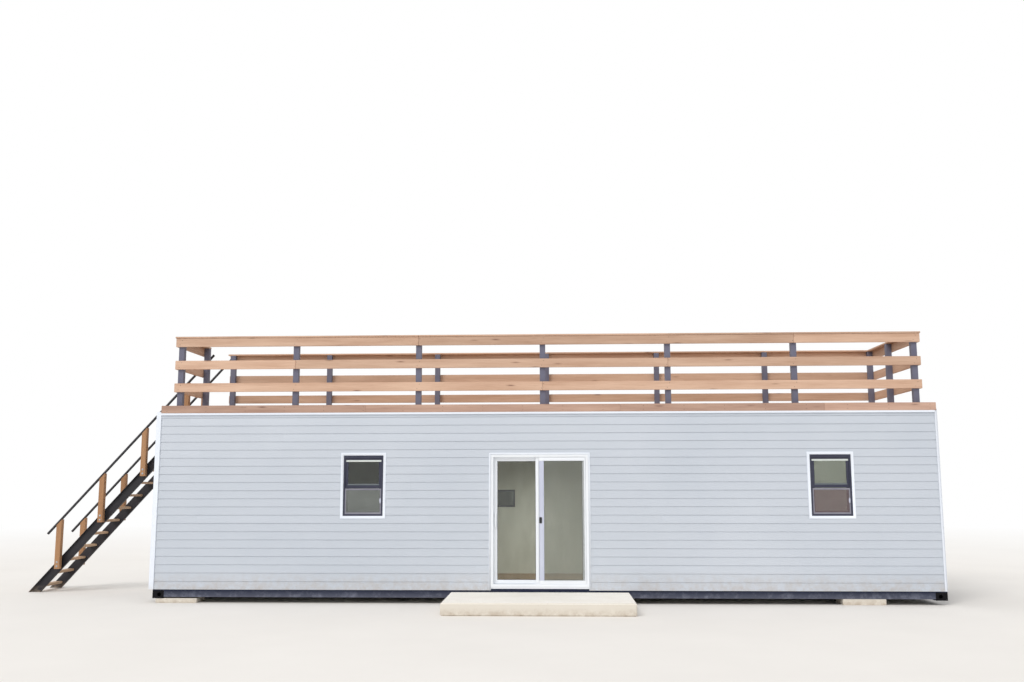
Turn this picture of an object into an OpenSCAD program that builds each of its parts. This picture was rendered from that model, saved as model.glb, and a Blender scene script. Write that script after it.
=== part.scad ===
// Shipping container cabin: a clad steel container on pads, with a roof deck,
// a timber railing, an outside stair, two windows and a sliding patio door.
// X runs along the container, the door side faces -Y, and the ground is at Z = 0.

/* [Container] */
// Outside length of the steel container
cont_l = 12192; // [11900:1:12600]
// Outside width of the steel container
cont_w = 2438; // [2350:1:2550]
// Outside height of the steel container
cont_h = 2896; // [2850:1:2950]
// Length of a corner casting along the container
casting_l = 178; // [160:1:190]
// Width of a corner casting across the container
casting_w = 162; // [150:1:180]
// Height of a corner casting
casting_h = 118; // [110:1:122]
// Wall thickness of a corner casting
casting_t = 28; // [20:1:34]
// Length of the slotted hole in a casting
casting_hole_l = 124; // [110:1:124]
// Width of the slotted hole in a casting
casting_hole_w = 63.5; // [50:0.5:66]
// Distance of a casting's holes from the container's end
casting_hole_x = 103.5; // [95:0.5:110]
// Distance of a casting's holes from the container's side
casting_hole_y = 89.5; // [80:0.5:95]
// Height of the bottom side rail's underside above the castings' underside
rail_lift = 20; // [10:1:25]
// Height of the bottom side rail
rail_h = 138; // [130:1:170]
// Width of the bottom side rail's flanges
rail_flange = 48; // [40:1:60]
// Plate thickness of the rails and cross members
rail_t = 6; // [5:1:8]
// Height of a cross member under the floor
cross_h = 120; // [110:1:125]
// Drop of the cross members below the top of the side rail
cross_drop = 18; // [12:1:25]
// Flange width of a cross member
cross_w = 45; // [40:1:60]
// Number of cross members
cross_n = 24; // [12:1:30]
// Plate thickness of a steel corner post
post_t = 8; // [6:1:12]
// Side of the square top side rail
top_rail = 60; // [50:1:70]

/* [Pads] */
// Height of the container's underside above the ground, on its concrete pads
pad_h = 70; // [50:1:120]
// Length of a pad along the container
pad_l = 650; // [400:1:800]
// Width of a pad across the container
pad_w = 400; // [300:1:600]
// Distance of the first pair of pads from the container's left end
pad_in_left = 376; // [330:1:480]
// Distance of the last pair of pads from the container's right end
pad_in_right = 1241; // [520:1:1500]

/* [Walls, floor and roof] */
// Thickness of a side wall with its insulation and lining
wall_t = 100; // [80:1:115]
// Thickness of the furring behind the end cladding
furring_t = 20; // [15:1:25]
// Thickness of the floor on the cross members
floor_t = 46; // [40:1:60]
// Thickness of the insulated roof
roof_t = 66; // [60:1:90]
// Drop of the roof sheet below the corner castings
roof_drop = 14; // [10:1:18]

/* [Cladding] */
// Height of the siding's lower edge above the container's underside
siding_rise = 135; // [118:1:150]
// Exposed height of one siding course
course_h = 127; // [100:1:150]
// Thickness of a course at its lower, butt edge
course_butt = 13; // [10:1:18]
// Thickness of a course at its upper edge
course_top = 3; // [2:0.5:5]
// Face width of an outside corner post
corner_w = 77; // [60:1:100]
// How far the corner post stands proud of the steel
corner_proud = 22; // [19:1:30]
// How far the corner post stands proud of the end wall's furring
corner_side = 40; // [20:1:45]
// Face width of the channel at the cargo door end
channel_w = 40; // [25:1:50]
// Height of the finish trim at the top of the siding
top_trim_h = 32; // [25:1:50]
// How far the finish trims stand proud of the steel
trim_proud = 18; // [15:1:28]
// How far the top trims of the long sides stand proud of the steel
top_trim_proud = 36; // [28:1:38]

/* [Cargo doors] */
// Setback of the cargo doors' faces from the container's end
leaf_setback = 46; // [42:1:60]
// Depth of a leaf's frame
leaf_t = 32; // [30:1:36]
// Face width of a leaf's frame
leaf_face = 70; // [50:1:100]
// Gap between the two leaves
leaf_gap = 6; // [5:1:15]
// Thickness of a leaf's corrugated sheet
leaf_sheet = 4; // [2:0.5:5]
// Number of ribs across a leaf
rib_n = 5; // [4:1:6]
// Depth of a rib
rib_d = 24; // [15:1:25]
// Face width of a rib
rib_w = 72; // [50:1:90]
// Run of a rib's slanted side
rib_slant = 18; // [10:1:25]
// Number of hinges on a leaf
hinge_n = 4; // [3:1:5]
// Height of a hinge
hinge_h = 120; // [80:1:150]
// Thickness of a hinge's blade
hinge_t = 10; // [6:1:14]
// Diameter of a hinge's barrel
hinge_d = 28; // [22:1:32]
// Diameter of a lock rod
rod_d = 34; // [28:1:36]
// Clearance between a lock rod and the leaf
rod_clear = 4; // [3:1:6]
// Distance of a lock rod's ends from the castings' outer faces
rod_end = 24; // [18:1:40]
// Number of guides that carry a lock rod
guide_n = 4; // [2:1:5]
// Side of a guide and of a handle's catch
guide_w = 60; // [40:1:70]
// Height of the first handle above the floor
handle_z = 700; // [600:1:1000]
// Height between the two handles of a leaf
handle_step = 130; // [90:1:200]
// Height of a handle's bar
handle_h = 32; // [24:1:40]
// Thickness of a handle's bar and of a keeper's lug
handle_t = 10; // [6:1:12]

/* [Patio door] */
// Middle of the patio door, from the container's middle
door_x = -57; // [-600:1:600]
// Width of the patio door frame
door_w = 1511; // [1450:1:1800]
// Height of the patio door frame
door_h = 2019; // [1950:1:2050]
// Face width of the patio door's jambs and head
jamb_w = 36; // [30:1:45]
// Height of the patio door's sill
sill_h = 38; // [30:1:50]
// How far the door and window frames stand proud of the steel
frame_proud = 14; // [10:1:17]
// Thickness of the glazed panels
panel_t = 32; // [26:1:34]
// Width of the stiles that meet in the middle of the door
stile_w = 57; // [45:1:70]
// Width of a glazed panel's stile at its jamb
lead_stile_w = 56; // [45:1:70]
// Height of a glazed panel's top and bottom rails
panel_rail_h = 58; // [45:1:80]
// Depth of the sliding planes' gap between the screen and the fixed panel
screen_room = 8; // [6:1:10]
// Depth of the gap between the fixed and the sliding panel
panel_room = 6; // [5:1:8]
// Thickness of the insect screen
screen_t = 14; // [10:1:16]
// How far the insect screen stands proud of the steel
screen_proud = 6; // [4:1:8]
// Width of the screen's latch stile
screen_stile_w = 73; // [50:1:80]
// Width of the screen's other stile
screen_edge_w = 22; // [18:1:40]
// Height of the screen's top and bottom rails
screen_rail_h = 53; // [30:1:60]
// Glass thickness of a double pane
pane_t = 18; // [12:1:22]
// Thickness of the modelled insect mesh
mesh_t = 2; // [1:0.5:3]
// Running clearance round a sliding panel
slide_gap = 5; // [5:0.5:8]
// Width of the track under a sliding panel
track_w = 6; // [4:1:10]
// Overlap of the meeting stiles past the door's middle
meet_over = 4; // [0:1:10]
// Height of the latch and handle above the finished floor
latch_z = 1010; // [900:1:1200]
// Width of the screen's latch
latch_w = 39; // [30:1:45]
// Height of the screen's latch
latch_h = 92; // [70:1:120]
// Thickness of the screen's latch
latch_t = 12; // [8:1:16]
// Height of the sliding panel's pull
pull_h = 220; // [160:1:260]
// Width of the pull's grip
pull_w = 24; // [18:1:30]
// Depth of the pull
pull_d = 30; // [24:1:30]
// Thickness of the pull's grip
pull_t = 10; // [8:1:14]
// Height of a pull's foot
pull_foot = 25; // [15:1:40]
// Face width of the white casing round the door
casing_w = 32; // [20:1:50]

/* [Windows] */
// Middle of the left window, from the container's middle
window_x_left = -2820; // [-4600:1:-2200]
// Middle of the right window, from the container's middle
window_x_right = 4430; // [2200:1:4600]
// Width of a front window frame
window_w = 627; // [550:1:900]
// Height of a front window frame
window_h = 938; // [800:1:1000]
// Drop of the front windows' heads below the door's head
window_drop = 5; // [0:1:60]
// Face width of the dark window frame
window_face = 30; // [24:1:40]
// Face width of a front window's head
window_head = 45; // [24:1:60]
// Face width of a sash
sash_face = 42; // [30:1:50]
// Height of the rails where the two sashes meet
meeting_h = 70; // [40:1:80]
// Drop of the meeting rails below the window's middle
meeting_drop = 5; // [0:1:40]
// Thickness of a sash
sash_t = 20; // [16:1:22]
// Glass thickness in a sash
sash_pane_t = 12; // [8:1:14]
// Setback of the upper sash from the wall's face
sash_setback = 8; // [6:1:10]
// Gap between the planes of the two sashes
sash_gap = 4; // [2:1:6]
// Face width of a window screen's frame
net_face = 24; // [14:1:30]
// Thickness of a window screen's frame
net_t = 8; // [6:1:10]
// Gap between a window screen and the sashes
net_gap = 6; // [4:1:8]
// Depth of a window frame through the wall
window_depth = 74; // [70:1:90]
// Face width of the white casing round a window
window_casing = 42; // [30:1:60]
// Middle of the small back window, from the container's middle
back_window_x = -985; // [-3000:1:3000]
// Width of the small back window
back_window_w = 914; // [600:1:1200]
// Height of the small back window
back_window_h = 305; // [280:1:500]
// Lower edge of the small back window above the floor
back_window_sill = 1160; // [900:1:1500]

/* [Doorstep] */
// Middle of the doorstep, from the container's middle
step_x = -62; // [-200:1:200]
// Width of the concrete doorstep
step_w = 2746; // [1800:1:3000]
// Depth of the doorstep, away from the container
step_d = 1456; // [900:1:1600]
// Height of the doorstep's top above the container's underside
step_rise = 107; // [90:1:150]

/* [Deck] */
// Height of the joists on the roof
joist_h = 89; // [80:1:120]
// Thickness of joists, rims and rails
lumber_t = 38; // [30:1:45]
// Number of joists
joist_n = 28; // [16:1:32]
// Thickness of the deck boards
board_t = 25; // [20:1:32]
// Height of the edge board along the deck
fascia_h = 120; // [100:1:140]
// Thickness of the edge board
fascia_t = 38; // [25:1:45]

/* [Railing] */
// Height of the railing above the deck
railing_h = 1122; // [1000:1:1200]
// Side of a square railing post
rail_post = 89; // [80:1:100]
// Distance between the inner railing posts
post_pitch = 1981; // [1800:1:2000]
// Shift of the back row's middle posts, away from the stair
back_shift = 50; // [0:1:90]
// Inset of the back row's last post at the stair
back_inset = 140; // [0:1:160]
// Distance of the corner posts from the deck's ends
corner_post_in = 244; // [180:1:300]
// Inset of the rails from the container's sides
rail_inset = 40; // [15:1:60]
// Height of a railing board
rail_board = 140; // [120:1:150]
// Thickness of the flat cap rail
cap_t = 25; // [20:1:38]
// Width of the flat cap rail
cap_w = 140; // [135:1:160]
// Overhang of the cap past the rails
cap_over = 12; // [5:1:20]
// Number of boards in a railing panel
rail_rows = 3; // [2:1:4]
// Distance between the two end posts at the stair opening
stair_bay = 1016; // [1005:1:1100]

/* [Stair] */
// Number of treads below the one that is level with the container's top
treads = 13; // [12:1:13]
// Height of one riser
riser = 219; // [210:1:224]
// Going of one tread
going = 197; // [185:1:205]
// Depth of a tread
tread_d = 130; // [120:1:132]
// Depth of the top tread that the end wall takes up
tread_cut = 75; // [60:1:85]
// Thickness of a tread
tread_t = 38; // [30:1:45]
// Clear width between the stringers
stair_w = 692; // [600:1:700]
// Gap from the end post to the near stair posts
stair_post_gap = 56; // [50:1:70]
// Depth of a channel stringer
stringer_h = 152; // [150:1:170]
// Flange width of a channel stringer
stringer_flange = 48; // [40:1:60]
// Web thickness of a channel stringer
stringer_web = 8; // [6:1:10]
// Cover of a stringer behind the treads
stringer_cover = 82; // [70:1:90]
// Width of a tread cleat's legs
cleat_w = 36; // [30:1:40]
// Thickness of a tread cleat
cleat_t = 5; // [4:1:8]
// Setback of a tread cleat from the tread's front edge
cleat_front = 20; // [10:1:30]
// Setback of a tread cleat from the tread's back edge
cleat_back = 10; // [5:1:20]
// Distance of the first stair posts from the head of the stair
stair_post_start = 86; // [60:1:120]
// Distance between the stair posts
stair_post_pitch = 706; // [650:1:720]
// Number of stair posts on each side
stair_post_n = 4; // [2:1:4]
// Depth of a stair post below the stringer's top edge
stair_post_drop = 172; // [150:1:200]
// Height of the handrail above the stringer
handrail_rise = 645; // [600:1:800]
// Diameter of the handrail
handrail_d = 42; // [34:1:48]
// Reach of the handrail past the lowest stair post
handrail_tail = 206; // [100:1:250]
// Reach of the near handrail past the middle of the end post
handrail_past = 65; // [50:1:100]
// Diameter of the handrail's bracket
bracket_d = 16; // [12:1:20]
// Height of the ledger on the end wall, which carries the stair
ledger_h = 160; // [155:1:200]

/* [Hidden] */
$fn = 32;
joint_gap = 0.3;

// Levels, all above the ground
z_base = pad_h;
z_top = z_base + cont_h;
z_rail_foot = z_base + rail_lift;
z_rail = z_rail_foot + rail_h;
z_cross = z_rail - cross_h - cross_drop;
z_floor = z_cross + cross_h + floor_t;
z_roof = z_top - roof_drop;
z_ceiling = z_roof - roof_t;
z_siding = z_base + siding_rise;
z_joist = z_roof;
z_boards = z_joist + joist_h;
z_deck = z_boards + board_t;
z_cap = z_deck + railing_h;
z_fascia = z_deck - fascia_h;
z_trim = z_fascia - top_trim_h;
z_end_trim = z_top - top_trim_h;

// Plan places, with the container's middle at X = 0 and its door side at Y = 0
half_l = cont_l / 2;
x_wall = half_l - casting_l;
x_clad = half_l + furring_t;
x_corner = x_clad + corner_side;
x_deck = x_corner - corner_w;
x_boards = x_deck - fascia_t;
x_ledger = x_clad + trim_proud;
x_leaf = half_l - leaf_setback;
x_leaf_back = x_leaf - leaf_t;
x_rod = x_leaf + rod_clear + rod_d / 2;
door_x0 = door_x - door_w / 2;
door_x1 = door_x + door_w / 2;
z_door = z_floor;
z_door_top = z_door + door_h;
z_window = z_door_top - window_h - window_drop;
z_back_window = z_floor + back_window_sill;

// Railing
corner_post_x = x_deck - corner_post_in;
row_y0 = rail_inset + lumber_t + rail_post / 2;
row_y1 = cont_w - row_y0;
end_post_y = row_y1 - stair_bay;
front_post_xs = [-corner_post_x, for (k = [-2:2]) k * post_pitch, corner_post_x];
back_post_xs = [-corner_post_x + back_inset, for (k = [-2:1]) k * post_pitch + back_shift, 2 * post_pitch,
    corner_post_x];
rail_x = corner_post_x + rail_post / 2 + lumber_t;
rail_y0 = row_y0 - rail_post / 2 - lumber_t;
rail_y1 = row_y1 + rail_post / 2 + lumber_t;
rail_gap = (railing_h - cap_t - rail_rows * rail_board) / rail_rows;

// Stair
slope = riser / going;
pitch = atan(slope);
x_stair = -x_ledger;
x_line = x_stair + tread_cut + stringer_cover;
stair_near = end_post_y + rail_post / 2 + stair_post_gap + rail_post + stringer_flange;
stair_far = stair_near + stair_w;
stair_post_x = x_stair - stair_post_start;
near_post_y = stair_near - stringer_flange - rail_post / 2;
far_post_y = stair_far + stringer_flange + rail_post / 2;

// The whole part's box, which puts the origin under its middle
x_min = line_x(0, stringer_h);
x_max = half_l;
y_min = -step_d;
y_max = cont_w + fascia_t;
origin = [(x_min + x_max) / 2, (y_min + y_max) / 2];

// Height of the line that lies d above the stringer's lower edge, at x
function line_z(x, d) = z_top + (x - x_line + d / sin(pitch)) * slope;
// Place along X where that line is at height z
function line_x(z, d) = (z - z_top) / slope + x_line - d / sin(pitch);

module place() {
    translate([-origin[0], -origin[1], 0]) children();
}

// A block from one corner to the other
module block(x, y, z) {
    translate([x[0], y[0], z[0]]) cube([x[1] - x[0], y[1] - y[0], z[1] - z[0]]);
}

// A flat frame in the XZ plane, with its own widths at left, right, bottom and top
module frame(x, y, z, w) {
    difference() {
        block(x, y, z);
        block([x[0] + w[0], x[1] - w[1]], [y[0] - 1, y[1] + 1], [z[0] + w[2], z[1] - w[3]]);
    }
}

// An outline drawn in XZ and pushed back from y0 to y1
module sheet(y0, y1) {
    translate([0, y1, 0]) rotate([90, 0, 0]) linear_extrude(y1 - y0) children();
}

// Copies on the door side and on the back
module both_sides() {
    children();
    translate([0, cont_w, 0]) mirror([0, 1, 0]) children();
}

// Copies on both ends
module both_ends() {
    children();
    mirror([1, 0, 0]) children();
}

// A pad round the middle x, up to the height z of what it carries
module pad(x, z) {
    block([x - pad_l / 2, x + pad_l / 2], [0, pad_w], [0, z]);
}

module ground_pads() {
    place() color("lightgray") both_sides() {
        pad(pad_in_left - half_l, z_base);
        pad(door_x, z_rail_foot);
        pad(half_l - pad_in_right, z_rail_foot);
    }
}

// A slotted hole through a casting, along Z
module slot() {
    reach = (casting_hole_l - casting_hole_w) / 2;
    for (s = [-1, 1]) translate([s * reach, 0, 0])
        cylinder(d = casting_hole_w, h = 2 * casting_h, center = true);
    cube([2 * reach, casting_hole_w, 2 * casting_h], center = true);
}

// A hollow casting at the origin's corner, with its slot in the face at z = 0
module casting() {
    difference() {
        cube([casting_l, casting_w, casting_h]);
        translate([casting_t, casting_t, casting_t])
            cube([casting_l - 2 * casting_t, casting_w - 2 * casting_t, casting_h - 2 * casting_t]);
        translate([casting_hole_x, casting_hole_y, -casting_h / 2]) slot();
        translate([casting_hole_x, casting_t / 2, casting_h / 2]) rotate([90, 0, 0])
            cylinder(d = casting_hole_w, h = 2 * casting_t, center = true);
        translate([casting_t / 2, casting_hole_y, casting_h / 2]) rotate([0, 90, 0])
            cylinder(d = casting_hole_w, h = 2 * casting_t, center = true);
    }
}

module corner_castings() {
    place() color("dimgray") both_sides() both_ends() {
        translate([-half_l, 0, z_base]) casting();
        translate([-half_l, 0, z_top]) mirror([0, 0, 1]) casting();
    }
}

// A channel rail along X with its web on the outside
module rail_section() {
    polygon([
        [0, 0], [rail_flange, 0], [rail_flange, rail_t], [rail_t, rail_t],
        [rail_t, rail_h - rail_t], [rail_flange, rail_h - rail_t], [rail_flange, rail_h], [0, rail_h]
    ]);
}

// A channel across the +X end with its web's face at x, open towards the inside
module end_channel(x, z0, z1) {
    difference() {
        block([x_wall, x], [casting_w, cont_w - casting_w], [z0, z1]);
        block([x_wall - 1, x - rail_t], [casting_w - 1, cont_w - casting_w + 1], [z0 + rail_t, z1 - rail_t]);
    }
}

// Channels across both ends, set back behind the lock rods at the cargo doors
module end_channels(z0, z1) {
    end_channel(x_leaf, z0, z1);
    mirror([1, 0, 0]) end_channel(half_l, z0, z1);
}

module bottom_rails() {
    place() color("dimgray") {
        both_sides() translate([-x_wall, 0, z_rail_foot]) rotate([90, 0, 90])
            linear_extrude(2 * x_wall) rail_section();
        end_channels(z_base, z_base + casting_h);
    }
}

module cross_members() {
    first = half_l - casting_l - cross_w;
    step = 2 * first / (cross_n - 1);
    place() color("dimgray")
        for (i = [0:cross_n - 1]) translate([-first + i * step - cross_w / 2, rail_flange, z_cross])
            rotate([90, 0, 0]) mirror([0, 0, 1]) linear_extrude(cont_w - 2 * rail_flange) difference() {
                square([cross_w, cross_h]);
                translate([rail_t, rail_t]) square([cross_w, cross_h - 2 * rail_t]);
            }
}

module floor() {
    z = [z_cross + cross_h, z_floor];
    place() color("tan") {
        block([-x_wall, x_wall], [wall_t, cont_w - wall_t], z);
        block([-half_l + wall_t, -x_wall], [casting_w, cont_w - casting_w], z);
        block([door_x0, door_x1], [0, wall_t], [z_rail, z_floor]);
    }
}

module corner_posts() {
    z = [z_base + casting_h, z_top - casting_h];
    place() color("dimgray") both_sides() both_ends() difference() {
        block([-half_l, -x_wall], [0, casting_w], z);
        block([-half_l + post_t, -x_wall - post_t], [post_t, casting_w - post_t], [z[0] - 1, z[1] + 1]);
    }
}

module top_rails() {
    place() color("dimgray") {
        both_sides() block([-x_wall, x_wall], [0, top_rail], [z_ceiling, z_roof]);
        end_channels(z_top - casting_h, z_roof);
    }
}

// A hole through a side wall for a window with its lower edge at z
module window_hole(x, z, w, h) {
    block([x - w / 2, x + w / 2], [-wall_t, 2 * wall_t], [z, z + h]);
}

module front_wall_left() {
    place() color("whitesmoke") difference() {
        block([-x_wall, door_x0], [0, wall_t], [z_rail, z_ceiling]);
        window_hole(window_x_left, z_window, window_w, window_h);
    }
}

module front_wall_right() {
    place() color("whitesmoke") difference() {
        block([door_x1, x_wall], [0, wall_t], [z_rail, z_ceiling]);
        window_hole(window_x_right, z_window, window_w, window_h);
    }
}

module front_wall_head() {
    place() color("whitesmoke") block([door_x0, door_x1], [0, wall_t], [z_door_top, z_ceiling]);
}

module back_wall() {
    place() color("whitesmoke") difference() {
        block([-x_wall, x_wall], [cont_w - wall_t, cont_w], [z_rail, z_ceiling]);
        translate([0, cont_w - wall_t, 0])
            window_hole(back_window_x, z_back_window, back_window_w, back_window_h);
    }
}

// A wall between two corner posts, from its outer face at x0 inwards
module end_wall(x0, x1) {
    block([x0, x1], [casting_w, cont_w - casting_w], [z_base + casting_h, z_top - casting_h]);
}

module left_end_wall() {
    place() color("whitesmoke") {
        end_wall(-half_l, -half_l + wall_t);
        block([-x_clad, -half_l], [0, cont_w], [z_siding, z_top]);
    }
}

module right_end_wall() {
    place() color("whitesmoke") end_wall(x_wall, x_leaf_back);
}

module roof() {
    place() color("silver")
        block([-x_wall, x_wall], [top_rail, cont_w - top_rail], [z_ceiling, z_roof]);
}

// Places across a cargo door leaf on the door side, and the middle of its rib i
leaf_y = [casting_w, (cont_w - leaf_gap) / 2];
sheet_y = [leaf_y[0] + leaf_face, leaf_y[1] - leaf_face];
leaf_z = [z_base + casting_h, z_top - casting_h];
function rib_y(i) = sheet_y[0] + (i + 0.5) * (sheet_y[1] - sheet_y[0]) / rib_n;

// One face of the corrugated sheet in plan, with the ribs' faces at x
function wave(x) = [
    [x - rib_d, sheet_y[0]],
    for (i = [0:rib_n - 1]) each [
        [x - rib_d, rib_y(i) - rib_w / 2 - rib_slant], [x, rib_y(i) - rib_w / 2],
        [x, rib_y(i) + rib_w / 2], [x - rib_d, rib_y(i) + rib_w / 2 + rib_slant]],
    [x - rib_d, sheet_y[1]]
];

function reversed(v) = [for (i = [len(v) - 1:-1:0]) v[i]];

// A hinge from the corner post onto the leaf, round the height z
module hinge(z) {
    block([x_leaf, x_leaf + hinge_t], [casting_w + hinge_d / 2, sheet_y[0]],
        [z - hinge_h / 2, z + hinge_h / 2]);
    translate([x_leaf + hinge_d / 2, casting_w + hinge_d / 2, z])
        cylinder(d = hinge_d, h = hinge_h, center = true);
}

module cargo_doors() {
    inner_z = [leaf_z[0] + leaf_face, leaf_z[1] - leaf_face];
    bay = (leaf_z[1] - leaf_z[0]) / hinge_n;
    place() color("dimgray") both_sides() {
        difference() {
            block([x_leaf_back, x_leaf], leaf_y, leaf_z);
            block([x_leaf_back - 1, x_leaf + 1], sheet_y, inner_z);
        }
        translate([0, 0, inner_z[0]]) linear_extrude(inner_z[1] - inner_z[0])
            polygon(concat(wave(x_leaf), reversed(wave(x_leaf - leaf_sheet))));
        for (k = [0:hinge_n - 1]) hinge(leaf_z[0] + (k + 0.5) * bay);
    }
}

// A lock rod at y with its guides, and a keeper on the frame at each end
module lock_rod(y) {
    z0 = z_base + rod_end;
    z1 = z_roof - rod_end;
    bay = (leaf_z[1] - leaf_z[0]) / guide_n;
    lug = rod_d / 2 + rod_clear;
    translate([x_rod, y, z0]) cylinder(d = rod_d, h = z1 - z0);
    for (k = [0:guide_n - 1])
        block([x_leaf, x_rod], [y - guide_w / 2, y + guide_w / 2],
            [leaf_z[0] + (k + 0.5) * bay - guide_w / 2, leaf_z[0] + (k + 0.5) * bay + guide_w / 2]);
    for (z = [[z0, leaf_z[0] - rod_clear], [leaf_z[1] + rod_clear, z1]]) {
        block([x_leaf, x_leaf + rod_clear], [y - lug - handle_t, y + lug + handle_t], z);
        block([x_leaf, x_rod + rod_d / 2], [y - lug - handle_t, y - lug], z);
        block([x_leaf, x_rod + rod_d / 2], [y + lug, y + lug + handle_t], z);
    }
}

// A handle from the lock rod at y0 to its catch on the leaf at y1
module lock_handle(y0, y1, z) {
    block([x_rod - handle_t / 2, x_rod + handle_t / 2], [min(y0, y1), max(y0, y1)],
        [z - handle_h / 2, z + handle_h / 2]);
    block([x_leaf, x_rod], [y1 - guide_w / 2, y1 + guide_w / 2], [z - guide_w / 2, z + guide_w / 2]);
}

module lock_rods() {
    outer = rib_y(rib_n - 3);
    catch = rib_y(rib_n - 2);
    inner = rib_y(rib_n - 1);
    place() color("silver") both_sides() {
        lock_rod(outer);
        lock_rod(inner);
        lock_handle(outer, catch, z_floor + handle_z);
        lock_handle(inner, catch, z_floor + handle_z + handle_step);
    }
}

// The lap siding's saw-tooth section, from height 0 up to h
function laps(h) = [
    for (k = [0:ceil(h / course_h) - 1])
        let (shown = min(course_h, h - k * course_h)) each [
            [-course_butt, k * course_h],
            [-course_butt + (course_butt - course_top) * shown / course_h, k * course_h + shown]]
];

// Siding along X from x0 to x1 on the door side, up to the height z
module siding_run(x0, x1, z) {
    h = z - z_siding;
    translate([x0, 0, z_siding]) rotate([90, 0, 90]) linear_extrude(x1 - x0)
        polygon(concat([[0, 0]], laps(h), [[0, h]]));
}

module siding_front() {
    reach = window_casing;
    place() color("lightgray") difference() {
        siding_run(-x_deck, half_l - channel_w, z_trim);
        block([door_x0 - casing_w, door_x1 + casing_w], [-wall_t, wall_t], [0, z_door_top + casing_w]);
        for (x = [window_x_left, window_x_right])
            window_hole(x, z_window - reach, window_w + 2 * reach, window_h + 2 * reach);
    }
}

module siding_back() {
    reach = window_casing;
    place() color("lightgray") translate([0, cont_w, 0]) mirror([0, 1, 0]) difference() {
        siding_run(-x_deck, half_l - channel_w, z_trim);
        window_hole(back_window_x, z_back_window - reach, back_window_w + 2 * reach,
            back_window_h + 2 * reach);
    }
}

// The ledger's own space on the end wall
module ledger_space() {
    block([-x_ledger, -x_clad], [near_post_y - rail_post / 2, far_post_y + rail_post / 2],
        [z_top - ledger_h, z_top]);
}

module siding_left_end() {
    edge = corner_w - corner_proud;
    place() color("lightgray") difference() {
        translate([-x_clad, cont_w, 0]) rotate(-90) siding_run(edge, cont_w - edge, z_end_trim);
        ledger_space();
    }
}

module siding_trims() {
    edge = corner_w - corner_proud;
    place() color("white") {
        both_sides() {
            block([-x_corner, -x_deck], [-corner_proud, 0], [z_siding, z_top]);
            block([-x_corner, -x_clad], [0, edge], [z_siding, z_top]);
            block([half_l - channel_w, half_l], [-trim_proud, 0], [z_siding, z_fascia]);
            block([-x_deck, half_l - channel_w], [-top_trim_proud, 0], [z_trim, z_fascia]);
        }
        difference() {
            block([-x_ledger, -x_clad], [edge, cont_w - edge], [z_end_trim, z_top]);
            ledger_space();
        }
    }
}

// A flat casing round an opening in a long wall, on the wall face from y0 to y1
module window_casing_at(x, y, z, w, h) {
    c = window_casing;
    frame([x - w / 2 - c, x + w / 2 + c], y, [z - c, z + h + c], [c, c, c, c]);
}

module opening_casings() {
    place() color("white") {
        difference() {
            block([door_x0 - casing_w, door_x1 + casing_w], [-trim_proud, 0],
                [z_siding, z_door_top + casing_w]);
            block([door_x0, door_x1], [-wall_t, wall_t], [0, z_door_top]);
        }
        for (x = [window_x_left, window_x_right])
            window_casing_at(x, [-trim_proud, 0], z_window, window_w, window_h);
        window_casing_at(back_window_x, [cont_w, cont_w + trim_proud], z_back_window, back_window_w,
            back_window_h);
    }
}

// Depth planes of the patio door's parts, from outside to inside
y_frame = [-frame_proud, wall_t];
y_screen = [-screen_proud, screen_t - screen_proud];
y_fixed = [y_screen[1] + screen_room, y_screen[1] + screen_room + panel_t];
y_slide = [y_fixed[1] + panel_room, y_fixed[1] + panel_room + panel_t];
in_x0 = door_x0 + jamb_w;
in_x1 = door_x1 - jamb_w;
in_z0 = z_door + sill_h;
in_z1 = z_door_top - jamb_w;
pz0 = in_z0 + slide_gap;
pz1 = in_z1 - slide_gap;
meet_x = door_x - meet_over - stile_w;
screen_x0 = door_x - meet_over;
screen_x1 = in_x1 - slide_gap;
z_latch = z_floor + latch_z;

module patio_frame() {
    place() color("white") {
        frame([door_x0, door_x1], y_frame, [z_door, z_door_top], [jamb_w, jamb_w, sill_h, jamb_w]);
        for (y = [y_screen, y_slide])
            block([in_x0, in_x1], [(y[0] + y[1] - track_w) / 2, (y[0] + y[1] + track_w) / 2],
                [in_z0, in_z0 + slide_gap - joint_gap]);
    }
}

module fixed_panel() {
    place() color("white") frame([meet_x, in_x1], y_fixed, [in_z0, in_z1],
        [stile_w, lead_stile_w, panel_rail_h + slide_gap, panel_rail_h + slide_gap]);
}

// A pane in the middle of a panel
module pane(x, y, z, t) {
    mid = (y[0] + y[1]) / 2;
    block(x, [mid - t / 2, mid + t / 2], z);
}

module fixed_glass() {
    place() color("lightblue") pane([meet_x + stile_w, in_x1 - lead_stile_w], y_fixed,
        [pz0 + panel_rail_h, pz1 - panel_rail_h], pane_t);
}

module sliding_panel() {
    place() color("white") frame([in_x0 + slide_gap, meet_x + stile_w], y_slide, [pz0, pz1],
        [lead_stile_w, stile_w, panel_rail_h, panel_rail_h]);
}

module sliding_glass() {
    place() color("lightblue") pane([in_x0 + slide_gap + lead_stile_w, meet_x], y_slide,
        [pz0 + panel_rail_h, pz1 - panel_rail_h], pane_t);
}

module door_pull() {
    x = in_x0 + slide_gap + (lead_stile_w - pull_w) / 2;
    y = y_slide[0];
    foot_z = pull_h / 2 - pull_foot;
    place() color("white") difference() {
        block([x, x + pull_w], [y - pull_d, y], [z_latch - pull_h / 2, z_latch + pull_h / 2]);
        block([x - 1, x + pull_w + 1], [y - pull_d + pull_t, y + 1], [z_latch - foot_z, z_latch + foot_z]);
    }
}

module screen_frame() {
    place() color("white") frame([screen_x0, screen_x1], y_screen, [pz0, pz1],
        [screen_stile_w, screen_edge_w, screen_rail_h, screen_rail_h]);
}

module screen_mesh() {
    place() color("gray") pane([screen_x0 + screen_stile_w, screen_x1 - screen_edge_w], y_screen,
        [pz0 + screen_rail_h, pz1 - screen_rail_h], mesh_t);
}

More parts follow.
